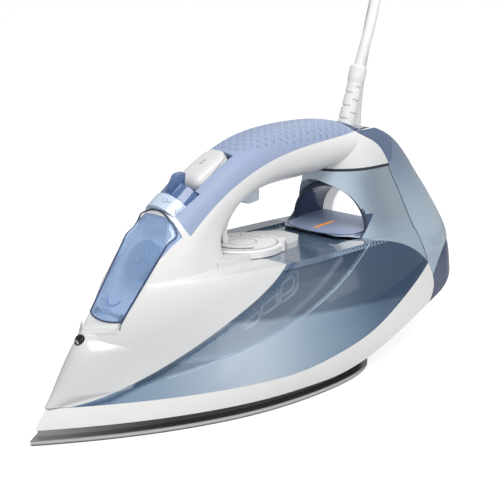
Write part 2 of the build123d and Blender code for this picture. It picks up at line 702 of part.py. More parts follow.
# --- cord ----------------------------------------------------------------------------------------------
def boot_plane(along):
    """Plane square to the strain relief; along is measured up its axis."""
    lean = radians(BOOT_LEAN)
    x, z = BOOT_BASE
    return Plane(origin=(x + along * sin(lean), 0, z + along * cos(lean)),
                 x_dir=(0, 1, 0), z_dir=(sin(lean), 0, cos(lean)))


def boot_post(start, end, radius):
    return extrude(boot_plane(start) * Circle(radius), end - start)


def cord_bezel(form):
    """Ring at the rear end of the handle that holds the strain relief."""
    return (form & boot_post(-12, 30, BEZEL_RADIUS)) - boot_post(-20, 40, BOOT_RADIUS)


def cord_boot():
    """Tapered strain relief with slots in turn on its two faces."""
    cone = Solid.make_cone(BOOT_RADIUS, 4.8, BOOT_LENGTH + 8, boot_plane(-8))
    slots = []
    for i in range(6):
        level = 5.0 + 5.4 * i
        side = 1 if i % 2 else -1
        slots.append(boot_plane(level) * Pos(side * 5.2, 0, 0) * Box(5.0, 14, 2.0))
    return cone - slots


def runs(points):
    """Straight runs joined by tangent arcs, each arc as wide as its shorter run allows."""
    radii = []
    for a, b, c in zip(points, points[1:], points[2:]):
        before, after = Vector(*b) - Vector(*a), Vector(*c) - Vector(*b)
        turn = radians(before.get_angle(after))
        radii.append(0.45 * min(before.length, after.length) / tan(turn / 2))
    print("cord arcs", [round(r) for r in radii])
    return FilletPolyline(*points, radius=radii)


def tube(points):
    path = runs(points)
    cord_tube = sweep(Plane(path @ 0, z_dir=path % 0) * Circle(CORD_DIAMETER / 2), path)
    print("cord length", round(path.length), "volume ratio",
          round(cord_tube.volume / (path.length * pi * CORD_DIAMETER ** 2 / 4), 4))
    return cord_tube


COIL = (215.0, 120.0)
COIL_INNER, COIL_OUTER, COIL_HEIGHT = 27.2, 49.2, 14.2
CORD_ROUTE = ((278.4, -1, 208.8), (294.2, 7.4, 225.8), (312.9, 22.6, 231),
              (329.2, 38.8, 222.6), (337.4, 51, 203.6), (335, 58.8, 156), (335, 60, 107),
              (334, 62, 60), (327, 73, 24), (301, 84, 3.5), (270, 82, 3.5), (245, 77.8, 3.5),
              (229, 76.8, 3.5))
LEAD_ROUTE = ((243.9, 155, 10.6), (262, 140, 10.6), (278, 130, 12.2), (292, 125, 14.6),
              (307, 123.5, 16))


def cord():
    start = boot_plane(BOOT_LENGTH).origin
    return tube([tuple(start), *CORD_ROUTE])


def cord_coil():
    """The rest of the cord, put away as a flat coil behind the iron."""
    ring = post(*COIL, 0, COIL_HEIGHT, COIL_OUTER) - post(*COIL, -1, COIL_HEIGHT + 1, COIL_INNER)
    return fillet(ring.edges(), 3.2)


def plug_lead():
    return tube(LEAD_ROUTE)


def plug_plane():
    """Plane square to the plug, at the end where the lead enters it."""
    end, before = Vector(*LEAD_ROUTE[-1]), Vector(*LEAD_ROUTE[-2])
    return Plane(origin=end, z_dir=(end - before).normalized())


def plug_body():
    """Round two-pin plug with a tapered neck and two finger grooves."""
    plane = plug_plane()
    neck_cone = Solid.make_cone(6.0, 11.0, 20.0, plane.offset(-2.0))
    barrel = extrude(plane.offset(18.0) * Circle(16.0), 24.0)
    barrel = fillet(barrel.edges(), 2.0)
    pins = [plane.offset(36.0) * Pos(0, side * 9.5, 3.0) * Cylinder(2.4, 12) for side in (-1, 1)]
    return (neck_cone + barrel) - pins


def plug_pins():
    plane = plug_plane()
    pin = plane.offset(46.5) * (Pos(0, 9.5, 0) * Cylinder(2.4, 19))
    twin = plane.offset(46.5) * (Pos(0, -9.5, 0) * Cylinder(2.4, 19))
    return Compound([pin, twin])


# --- small pieces inside ---------------------------------------------------------------------------
def cover_screws():
    """Three equal screws that hold the steam chamber cover."""
    places = ((88, 0), (206, 24), (206, -24))
    return Compound([post(x, y, 27.0, 29.2, 3.0) for x, y in places])


def terminal_block():
    block_ = block((288.5, 303), (-16, 16), (50, 62))
    return block_ - [post(295.5, y, 56, 64, 2.2) for y in (-10, 0, 10)]


def control_board():
    return block((287.5, 289.1), (-24, 24), (62.5, 76))


def main():
    low, low_in = body(), body(WALL)
    tall, tall_in = tower(), tower(WALL)
    throat, throat_in = neck(), neck(WALL)
    grip, grip_in = handle() - ridge_cut(), handle(WALL)
    upper, back, front = above_skirt(), behind_cover_seam(), front_region()
    top = above_grip_seam() - ridge_prism(*RIM_OUTLINE)
    nose = ((low & front) & upper) - ridge_cut()
    ridge = (nose + grip) & block((-10, 125), (-WIDE, WIDE), (50, 140))
    white = housing_form(nose, grip, throat, top)
    tank_form = (low & upper) - front - back - above_shoulder()
    panels = window_panels(tank_form, low_in)
    tower_form = (((low & upper) + tall) & above_shoulder()) - back
    back_form = cover_form(low, tall, throat)
    hollow = low_in + tall_in + throat_in
    cap = (grip + throat + back_form) & boot_post(-12, 30, BEZEL_RADIUS)

    write("soleplate", soleplate())
    write("heating_element", heating_element())
    write("steam_chamber_cover", steam_chamber_cover())
    write("cover_screws", cover_screws())
    write("thermostat", thermostat())
    write("dosing_valve", dosing_valve())
    write("thermal_fuse", thermal_fuse())
    write("heat_shield", heat_shield(low, low_in, upper))
    write("tank_windows", panels)
    write("water_tank", water_tank(tank_form, low_in, panels))
    write("housing", housing(white, ridge, low_in, grip_in, throat_in))
    write("grip_top", grip_top(grip, top, handle(WALL + 1.4)))
    write("filling_door", filling_door(ridge))
    write("door_plug", door_plug())
    write("door_hinge_pin", hinge_pin())
    write("inlet_funnel", inlet_funnel())
    write("spray_nozzle", spray_nozzle())
    write("collar_ring", collar_ring())
    write("steam_selector", steam_selector())
    write("boost_button", boost_button())
    write("pump_body", pump_body())
    write("steam_trigger", steam_trigger())
    write("temperature_dial", temperature_dial())
    write("dial_spindle", dial_spindle())
    write("rear_tower", rear_tower(tower_form, tall_in + low_in))
    write("tunnel_lining", tunnel_lining(tower_form))
    write("rear_liner", rear_liner(tower_form, back_form))
    write("light_platform", light_platform(tower_form))
    write("light_bar", light_bar())
    write("back_cover", back_cover(back_form, hollow))
    write("heel_plate", heel_plate(back_form, hollow))
    write("handle_gasket", handle_gasket(throat, throat_in))
    write("cord_bezel", cord_bezel(cap))
    write("terminal_block", terminal_block())
    write("control_board", control_board())
    write("cord_boot", cord_boot())
    write("cord", cord())
    write("cord_coil", cord_coil())
    write("plug_lead", plug_lead())
    write("plug_body", plug_body())
    write("plug_pins", plug_pins())


if __name__ == "__main__":
    main()
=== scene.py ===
"""Steam iron: finishes, cord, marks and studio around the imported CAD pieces.

Metres, +Z up, nose at -X.
"""

import functools
import math

import bpy
import numpy as np
from mathutils import Matrix, Vector


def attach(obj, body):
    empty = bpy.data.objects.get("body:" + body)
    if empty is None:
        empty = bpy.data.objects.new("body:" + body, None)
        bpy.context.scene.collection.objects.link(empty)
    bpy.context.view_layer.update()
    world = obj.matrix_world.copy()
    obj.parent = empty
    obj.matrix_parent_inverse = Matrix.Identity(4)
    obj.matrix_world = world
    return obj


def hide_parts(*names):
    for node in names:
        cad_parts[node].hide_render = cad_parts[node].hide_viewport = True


bl_info = {
    "name": "Steam iron",
    "version": (1, 0, 0),
    "blender": (4, 5, 0),
    "location": "View3D > Sidebar > Iron",
    "description": "Finishes, cord, marks and studio for a steam iron",
    "category": "Object",
}

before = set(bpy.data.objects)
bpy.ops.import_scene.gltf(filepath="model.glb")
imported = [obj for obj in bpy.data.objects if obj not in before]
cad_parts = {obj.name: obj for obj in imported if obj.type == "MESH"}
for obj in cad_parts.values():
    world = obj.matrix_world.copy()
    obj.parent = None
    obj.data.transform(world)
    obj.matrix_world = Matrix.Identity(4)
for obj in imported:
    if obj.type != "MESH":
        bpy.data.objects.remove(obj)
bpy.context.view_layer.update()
MM = 0.001
MIDDLE = 162.0            # nose coordinate, in millimetres, of the row frame's X = 0
# Lines of the side view, as (x, z) in nose coordinates
SKIRT_SEAM = ((8, 18.8), (130, 18.8), (165, 20.3), (187, 23.3))
WINDOW_SEAM = ((70, 29.5), (100, 35.5), (128, 42), (150, 48), (172, 55), (188, 61), (204, 68),
               (219, 75.5), (229, 80.5))
COVER_SEAM = ((270.6, 122), (274.6, 106), (277.8, 84), (282.2, 66), (283.4, 57.5))
TANK_HEM = ((14, 16.0), (40, 21.0), (67, 32.0), (106, 51.5), (141, 69.5), (164, 83))
TANK_STRIP = ((134, 48), (168, 61), (200, 77))
# Round front face that the door lies on: its foot (x, z), its slope in degrees, its radius
RIDGE_FOOT, RIDGE_SLOPE, RIDGE_ROUND = (49.0, 57.2), 53.0, 60.0


# --- settings -----------------------------------------------------------------------------
def colour_prop(name, default, description):
    return bpy.props.FloatVectorProperty(name=name, description=description, default=default,
                                         size=3, min=0.0, max=1.0, subtype="COLOR_GAMMA")


class IronColours(bpy.types.PropertyGroup):
    """Display colours of the casings."""
    white: colour_prop("White", (0.95, 0.95, 0.947), "Housing, dial, skirt and cord")
    tank_deep: colour_prop("Tank, deep", (0.11, 0.25, 0.38), "Upper rear of the tank")
    tank_mid: colour_prop("Tank, middle", (0.52, 0.62, 0.72), "Side of the tank")
    # Pale band painted on the tank under its waist line: a painted highlight.
    tank_highlight: colour_prop("Tank, pale", (0.84, 0.89, 0.94), "Highlight under the waist line")
    window: colour_prop("Window", (0.45, 0.52, 0.60), "Clear panel of the tank")
    navy: colour_prop("Navy", (0.24, 0.30, 0.44), "Heel and tunnel lining")
    lavender: colour_prop("Lavender", (0.62, 0.68, 0.80), "Soft grip and platform")
    grey: colour_prop("Light grey", (0.90, 0.90, 0.90), "Boost key")
    door: colour_prop("Door", (0.70, 0.83, 1.0), "Filling door")
    edge: colour_prop("Door edge", (0.20, 0.25, 0.40), "Dark edge of the filling door")
    selector: colour_prop("Selector", (0.36, 0.48, 0.68), "Steam selector")
    collar: colour_prop("Collar", (0.80, 0.87, 0.95), "Ring under the selector")
    amber: colour_prop("Amber", (0.96, 0.62, 0.18), "Indicator light")


class IronSizes(bpy.types.PropertyGroup):
    """Sizes of the pieces added to the CAD model."""
    cord_radius: bpy.props.FloatProperty(name="Cord radius", description="Radius of the flex",
                                         default=0.0035, subtype="DISTANCE")
    dot_pitch: bpy.props.FloatProperty(name="Dot pitch", default=0.0042, subtype="DISTANCE",
                                       description="Spacing of the raised dots on the grip")
    focal_length: bpy.props.FloatProperty(name="Focal length", default=82.16,
                                          description="Of the camera, in millimetres")


class StudioSettings(bpy.types.PropertyGroup):
    """Strength of the studio's lamps."""
    ambient: bpy.props.FloatProperty(name="Ambient", default=0.46, description="World light")
    key: bpy.props.FloatProperty(name="Key", default=10.0, subtype="POWER",
                                 description="Large lamp above and left of the nose")
    fill: bpy.props.FloatProperty(name="Fill", default=0.6, subtype="POWER",
                                  description="Low strip in front of the near side")
    rim: bpy.props.FloatProperty(name="Rim", default=1.2, subtype="POWER",
                                 description="Strip above and behind the heel")


def colours():
    return bpy.context.scene.iron_colours


def sizes():
    return bpy.context.scene.iron_sizes


def studio():
    return bpy.context.scene.iron_studio


# --- material helpers ---------------------------------------------------------------------
def linear(colour):
    """Display colour to the linear values that a shader wants, with alpha 1."""
    values = [c / 12.92 if c <= 0.04045 else ((c + 0.055) / 1.055) ** 2.4 for c in colour]
    return (*values, 1.0)


def new_material(name):
    material = bpy.data.materials.new(name)
    material.use_nodes = True
    tree = material.node_tree
    return material, tree, tree.nodes["Principled BSDF"]


def set_inputs(node, values):
    for name, value in values.items():
        node.inputs[name].default_value = value


def math_node(tree, operation, *values, clamp=False):
    """Output of a math node over sockets and numbers."""
    node = tree.nodes.new("ShaderNodeMath")
    node.operation = operation
    node.use_clamp = clamp
    for socket, value in zip(node.inputs, values):
        if isinstance(value, (int, float)):
            socket.default_value = value
        else:
            tree.links.new(value, socket)
    return node.outputs[0]


def mix_shader(tree, factor, low, high):
    node = tree.nodes.new("ShaderNodeMixShader")
    for socket, value in zip(node.inputs, (factor, low, high)):
        tree.links.new(value, socket)
    return node.outputs[0]


def plastic(name, colour, roughness=0.3, coat=0.0, metallic=0.0, clear=0.0):
    """Moulded plastic or metal; clear is the share of light that passes straight through."""
    material, tree, shader = new_material(name)
    set_inputs(shader, {"Base Color": linear(colour), "Roughness": roughness, "Metallic": metallic,
                        "Coat Weight": coat, "Coat Roughness": 0.05})
    if clear:
        see_through(tree, shader, colour, clear)
    return material


def see_through(tree, shader, colour, clear):
    """Let light through the plastic, tinted, less of it at grazing angles; shadows get lighter too."""
    tint = tree.nodes.new("ShaderNodeBsdfTransparent")
    tint.inputs["Color"].default_value = linear([0.86 + 0.14 * c for c in colour])
    facing = tree.nodes.new("ShaderNodeLayerWeight")
    facing.inputs["Blend"].default_value = 0.2
    path = tree.nodes.new("ShaderNodeLightPath")
    solid = math_node(tree, "MULTIPLY_ADD", facing.outputs["Facing"], clear, 1.0 - clear)
    look = mix_shader(tree, solid, tint.outputs[0], shader.outputs[0])
    share = math_node(tree, "MULTIPLY", path.outputs["Is Shadow Ray"], clear)
    whole = mix_shader(tree, share, look, tint.outputs[0])
    tree.links.new(whole, tree.nodes["Material Output"].inputs["Surface"])


def position(tree):
    """X, Y and Z of the point being shaded, in metres in the row frame."""
    place = tree.nodes.new("ShaderNodeTexCoord")
    split = tree.nodes.new("ShaderNodeSeparateXYZ")
    tree.links.new(place.outputs["Object"], split.inputs[0])
    return split.outputs


def plane_value(tree, weights, offset=0.0, clamp=False):
    """Socket with weights . position + offset, position in metres."""
    place = tree.nodes.new("ShaderNodeTexCoord")
    dot = tree.nodes.new("ShaderNodeVectorMath")
    dot.operation = "DOT_PRODUCT"
    dot.inputs[1].default_value = weights
    tree.links.new(place.outputs["Object"], dot.inputs[0])
    return math_node(tree, "ADD", dot.outputs["Value"], offset, clamp=clamp)


def ramp(tree, socket, stops):
    """Colour ramp over a socket; stops are (place, display colour)."""
    node = tree.nodes.new("ShaderNodeValToRGB")
    node.color_ramp.interpolation = "B_SPLINE"
    elements = node.color_ramp.elements
    while len(elements) < len(stops):
        elements.new(0.5)
    for element, (place, colour) in zip(elements, stops):
        element.position = place
        element.color = linear(colour)
    tree.links.new(socket, node.inputs[0])
    return node.outputs[0]


def nose_plane(tree, a, c, d, soft):
    """0 to 1 across the plane a x + c z = d (nose coordinates, millimetres), soft wide."""
    weights = (1000 * a / soft, 0.0, 1000 * c / soft)
    return plane_value(tree, weights, (MIDDLE * a - d) / soft, clamp=True)


def blend(tree, factor, low, high):
    """Mix two colours, each a socket or a display colour."""
    node = tree.nodes.new("ShaderNodeMix")
    node.data_type = "RGBA"
    tree.links.new(factor, node.inputs["Factor"])
    for socket, colour in ((node.inputs[6], low), (node.inputs[7], high)):
        if isinstance(colour, tuple):
            socket.default_value = linear(colour)
        else:
            tree.links.new(colour, socket)
    return node.outputs[2]


def product(tree, *factors):
    """Product of sockets and numbers."""
    return functools.reduce(lambda a, b: math_node(tree, "MULTIPLY", a, b), factors)


def added(tree, *terms):
    """Sum of sockets, no more than 1."""
    return functools.reduce(lambda a, b: math_node(tree, "ADD", a, b, clamp=True), terms)


def shaded(name, roughness=0.12, coat=1.0, clear=0.0, tint=(0.7, 0.8, 0.9)):
    """Glossy plastic whose base colour is linked by the caller."""
    material, tree, shader = new_material(name)
    set_inputs(shader, {"Roughness": roughness, "Coat Weight": coat, "Coat Roughness": 0.04})
    if clear:
        see_through(tree, shader, tint, clear)
    return material, tree, shader.inputs["Base Color"]


def stroke(tree, points, width, soft=0.4):
    """1 on a line of that width through points (x, z) of the side view, else 0."""
    pieces = []
    for (x0, z0), (x1, z1) in zip(points, points[1:]):
        size = math.hypot(x1 - x0, z1 - z0)
        a, c = (z0 - z1) / size, (x1 - x0) / size
        d = a * x0 + c * z0
        pieces.append(product(tree, nose_plane(tree, a, c, d - width / 2, soft),
                              nose_plane(tree, -a, -c, -d - width / 2, soft),
                              nose_plane(tree, 1, 0, x0 - 0.2, 0.2),
                              nose_plane(tree, -1, 0, -x1 - 0.2, 0.2)))
    return added(tree, *pieces)


def along_nose(tree, start, end, stops):
    """Ramp along X between two nose coordinates."""
    value = plane_value(tree, (1000 / (end - start), 0.0, 0.0), (MIDDLE - start) / (end - start))
    return ramp(tree, value, stops)


def paint(material, *nodes):
    for name in nodes:
        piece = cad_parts[name]
        piece.data.materials.clear()
        piece.data.materials.append(material)


# --- mesh helpers ---------------------------------------------------------------------------
def point(x, y, z):
    """Nose coordinates in millimetres to the row frame in metres."""
    return Vector(((x - MIDDLE) * MM, y * MM, z * MM))


def metres(points):
    """Array of nose coordinates in millimetres to the row frame in metres."""
    return np.array(points, float) * MM - np.array([MIDDLE * MM, 0.0, 0.0])


def smooth_step(t, low, high):
    s = np.clip((t - low) / (high - low), 0.0, 1.0)
    return s * s * (3 - 2 * s)


def link(piece, body, material):
    bpy.context.scene.collection.objects.link(piece)
    piece.data.materials.append(material)
    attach(piece, body)
    return piece


def grid_mesh(name, points, close_u=False, close_v=False):
    """Quad mesh over an array of points of shape (rows, columns, 3)."""
    rows, columns = points.shape[:2]
    index = np.arange(rows * columns).reshape(rows, columns)
    if close_u:
        index = np.vstack([index, index[:1]])
    if close_v:
        index = np.hstack([index, index[:, :1]])
    quads = np.stack([index[:-1, :-1], index[:-1, 1:], index[1:, 1:], index[1:, :-1]], axis=-1)
    mesh = bpy.data.meshes.new(name)
    mesh.from_pydata(points.reshape(-1, 3).tolist(), [], quads.reshape(-1, 4).tolist())
    mesh.polygons.foreach_set("use_smooth", np.ones(len(mesh.polygons), bool))
    return mesh


def tube_mesh(name, path, radius, closed=False, sides=10):
    """Tube along a path: path(s) + radius (cos a side(s) + sin a up(s))."""
    path = metres(path)
    if closed:
        ahead = np.roll(path, -1, axis=0) - np.roll(path, 1, axis=0)
    else:
        ahead = np.gradient(path, axis=0)
    ahead /= np.linalg.norm(ahead, axis=1)[:, None]
    side = np.cross(ahead, (0.31, 0.17, 0.93))
    side /= np.linalg.norm(side, axis=1)[:, None]
    up = np.cross(side, ahead)
    angle = math.tau * np.arange(sides)[None, :, None] / sides
    rings = path[:, None, :] + radius * MM * (np.cos(angle) * side[:, None, :]
                                             + np.sin(angle) * up[:, None, :])
    return grid_mesh(name, rings, close_u=closed, close_v=True)


def place_mesh(name, mesh, body, material):
    return link(bpy.data.objects.new(name, mesh), body, material)


def tube(name, path, radius, body, material, closed=False):
    return place_mesh(name, tube_mesh(name, path, radius, closed), body, material)


def ridge_point(s, y, h=0.0):
    """Nose coordinates of a point on the round front face: s up the slope, h off the face."""
    y = np.asarray(y, float)
    s = np.asarray(s, float) + 0 * y
    height = np.sqrt(RIDGE_ROUND ** 2 - y ** 2) - RIDGE_ROUND + h
    slope = math.radians(RIDGE_SLOPE)
    x = RIDGE_FOOT[0] + s * math.cos(slope) - height * math.sin(slope)
    z = RIDGE_FOOT[1] + s * math.sin(slope) + height * math.cos(slope)
    return np.stack([x, y, z], axis=-1)


def flat_ring(name, centre, radii, turns, start, sweep):
    """Flat level ring between radii: centre + r (cos a, sin a, 0)."""
    angles = start + sweep * np.arange(turns + 1) / turns
    spokes = np.stack([np.cos(angles), np.sin(angles), 0 * angles], axis=-1)
    return grid_mesh(name, np.stack([np.array(centre) + radius * spokes for radius in radii]))


# --- casings --------------------------------------------------------------------------------
class IRON_OT_white_casings(bpy.types.Operator):
    """Glossy white housing, skirt, dial, tunnel throat and strain relief."""
    bl_idname = "iron.white_casings"
    bl_label = "White casings"

    def execute(self, context):
        paint(plastic("Glossy white", colours().white, 0.28, coat=0.35), "heat_shield")
        # The throat liner glows faintly: painted light, as if lit through the heel opening.
        liner, tree, shader = new_material("Liner white")
        set_inputs(shader, {"Base Color": linear(colours().white), "Emission Color": (1, 1, 1, 1),
                            "Emission Strength": 0.35})
        paint(liner, "rear_liner")
        paint(self.housing(), "housing")
        paint(plastic("Dial white", colours().white, 0.35), "temperature_dial")
        paint(plastic("Cord white", colours().white, 0.42), "cord_boot", "plug_body")
        paint(plastic("Key grey", colours().grey, 0.36), "boost_button")
        paint(plastic("Inner grey", (0.55, 0.56, 0.58), 0.5), "pump_body", "dial_spindle",
              "terminal_block", "thermostat", "thermal_fuse")
        return {"FINISHED"}

    def housing(self):
        """White with a grey line where it meets the skirt, and painted shade that greys its lower part.
        """
        material, tree, base = shaded("Housing white", roughness=0.28, coat=0.35)
        white = tuple(colours().white)
        # Painted shade: the lower part of the housing turns grey.
        side = nose_plane(tree, 0.35, -1.0, -56.0, 26.0)
        colour = blend(tree, side, white, (0.86, 0.865, 0.87))
        seam = stroke(tree, SKIRT_SEAM, 0.9, 0.3)
        tree.links.new(blend(tree, seam, colour, (0.62, 0.62, 0.63)), base)
        return material


# For each height: the height, x of the nose, x of the widest place, half width, bluntness
NOSE_LEVELS = ((18.8, 11.0, 162, 62.0, 1.0), (32.0, 23.5, 166, 60.5, 0.93),
               (47.0, 33.0, 170, 57.5, 0.84), (62.0, 40.5, 174, 53.8, 0.77))
NOZZLE_HEIGHT = 52.8
SKIN_DEPTH = 2.4
SILL_HALF, SILL_FOOT = 14.4, 55.5        # half width, and height where the sill starts


class IRON_OT_nose_fairing(bpy.types.Operator):
    """Full, rounded face of the nose, laid over the sharper casing."""
    bl_idname = "iron.nose_fairing"
    bl_label = "Nose fairing"

    def execute(self, context):
        """Closed skin: for each height z a face from side to side and back again, SKIN_DEPTH inside."""
        z = np.linspace(19.3, 57.4, 127)[:, None]
        y = self.reach(z) * np.linspace(-1, 1, 161)[None, :]
        face = self.face(y, z)
        y, z = y + 0 * z, z + 0 * y
        loop = np.concatenate([np.stack([face, y, z], axis=-1),
                               np.stack([face + SKIN_DEPTH, y, z], axis=-1)[:, ::-1]], axis=1)
        caps = [np.broadcast_to(loop[i].mean(axis=0), loop[i].shape)[None] for i in (0, -1)]
        rings = metres(np.concatenate([caps[0], loop, caps[1]]))
        place_mesh("Nose_fairing", grid_mesh("Nose fairing", rings, close_v=True), "iron",
                   bpy.data.materials["Housing white"])
        self.nozzle()
        self.sill()
        return {"FINISHED"}

    def sill(self):
        """Quadratic curves from the top of the nose to the foot of the door, side by side."""
        y = np.linspace(-SILL_HALF, SILL_HALF, 61)[:, None]
        foot = 4.0 + 3.0 * (y / 14.6) ** 2
        start = np.stack([self.plan(np.abs(y), SILL_FOOT) - 0.3, y, SILL_FOOT + 0 * y], axis=-1)
        end = ridge_point(foot, y, -0.5)
        middle = np.stack([0.92 * start[..., 0] + 0.08 * end[..., 0], y,
                           0.02 * start[..., 2] + 0.98 * end[..., 2]], axis=-1)
        t = np.linspace(0, 1, 24)[None, :, None]
        top = (1 - t) ** 2 * start + 2 * t * (1 - t) * middle + t ** 2 * end
        loop = np.concatenate([top, (top + (0.7, 0.0, -1.0))[:, ::-1]], axis=1)
        mesh = grid_mesh("Door sill", metres(loop)[::-1], close_v=True)
        place_mesh("Door_sill", mesh, "iron", bpy.data.materials["Housing white"])

    def reach(self, z):
        """How far the skin runs to each side; less at the top, clear of the door's swing."""
        return 24.0 - 13.0 * smooth_step(z, 46.0, 54.0)

    def nozzle(self):
        """Turned dark cup with a raised rim and a small jet in the middle, set in the skin's hole."""
        turn = math.tau * np.arange(49)[None, :] / 48
        profile = np.array([(3.3, 0.0), (3.1, 0.45), (2.7, 0.4), (2.5, -1.6), (1.3, -1.7),
                            (1.1, -0.6), (0.0, -0.6)])
        r, h = profile[:, :1], profile[:, 1:]
        lean = math.radians(32.0)
        x = self.face(np.array(0.0), np.array(NOZZLE_HEIGHT)) - 4.5
        up = r * np.cos(turn)
        ring = metres(np.stack([x + 0.3 + up * math.sin(lean) - h * math.cos(lean) + 0 * turn,
                                r * np.sin(turn),
                                NOZZLE_HEIGHT + up * math.cos(lean) + h * math.sin(lean)], axis=-1))
        cup = place_mesh("Nozzle_cup", grid_mesh("Nozzle cup", ring[:, ::-1]), "iron",
                         plastic("Nozzle", (0.10, 0.10, 0.11), 0.3, coat=0.4))
        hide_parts("spray_nozzle")

    def face(self, y, z):
        """The plan's own formula at a rounded-off y, moved forward by up to 2.5 mm in the middle.

        amount(z) is the rounding. It fades out towards both sides and the top, where the skin
        dips under the casing. The hole takes the nozzle.
        """
        amount = 4.1 * np.sin(math.pi * np.clip((z - 13.5) / 45.0, 0, 1)) ** 1.2
        end = np.minimum(np.clip(7.0 + 3.0 * (z - 20.0), 7.0, 22.5), self.reach(z) - 1.5)
        fade = 1 - smooth_step(np.abs(y), 0.25 * end, end)
        radius = 1.3 * amount
        soft = np.sqrt(y * y + radius * radius) - radius
        x = self.plan(np.abs(y) - fade * (np.abs(y) - soft), z) - 0.62 * amount * fade
        hidden = 1 - smooth_step(end - np.abs(y), -1.0, 2.0) * (1 - smooth_step(z, 55.0, 57.2))
        hole = np.exp(-((y * y + 1.4 * (z - NOZZLE_HEIGHT) ** 2) / 8.6) ** 4)
        return x + 0.9 * hidden + 4.5 * hole

    def plan(self, y, z):
        """x of the casing's plan: half * (1 - (1 - t)**1.87)**blunt is the half width at t."""
        level, nose, wide, half, blunt = np.array(NOSE_LEVELS).T
        nose = np.polyval(np.polyfit(level, nose, 3), z)
        wide, half, blunt = (np.interp(z, level, row) for row in (wide, half, blunt))
        t = 1 - (1 - (y / half) ** (1 / blunt)) ** (1 / 1.87)
        return nose + (wide - nose) * t


RIB_SIDE = 43.0            # millimetres from the mid plane, just inside the window


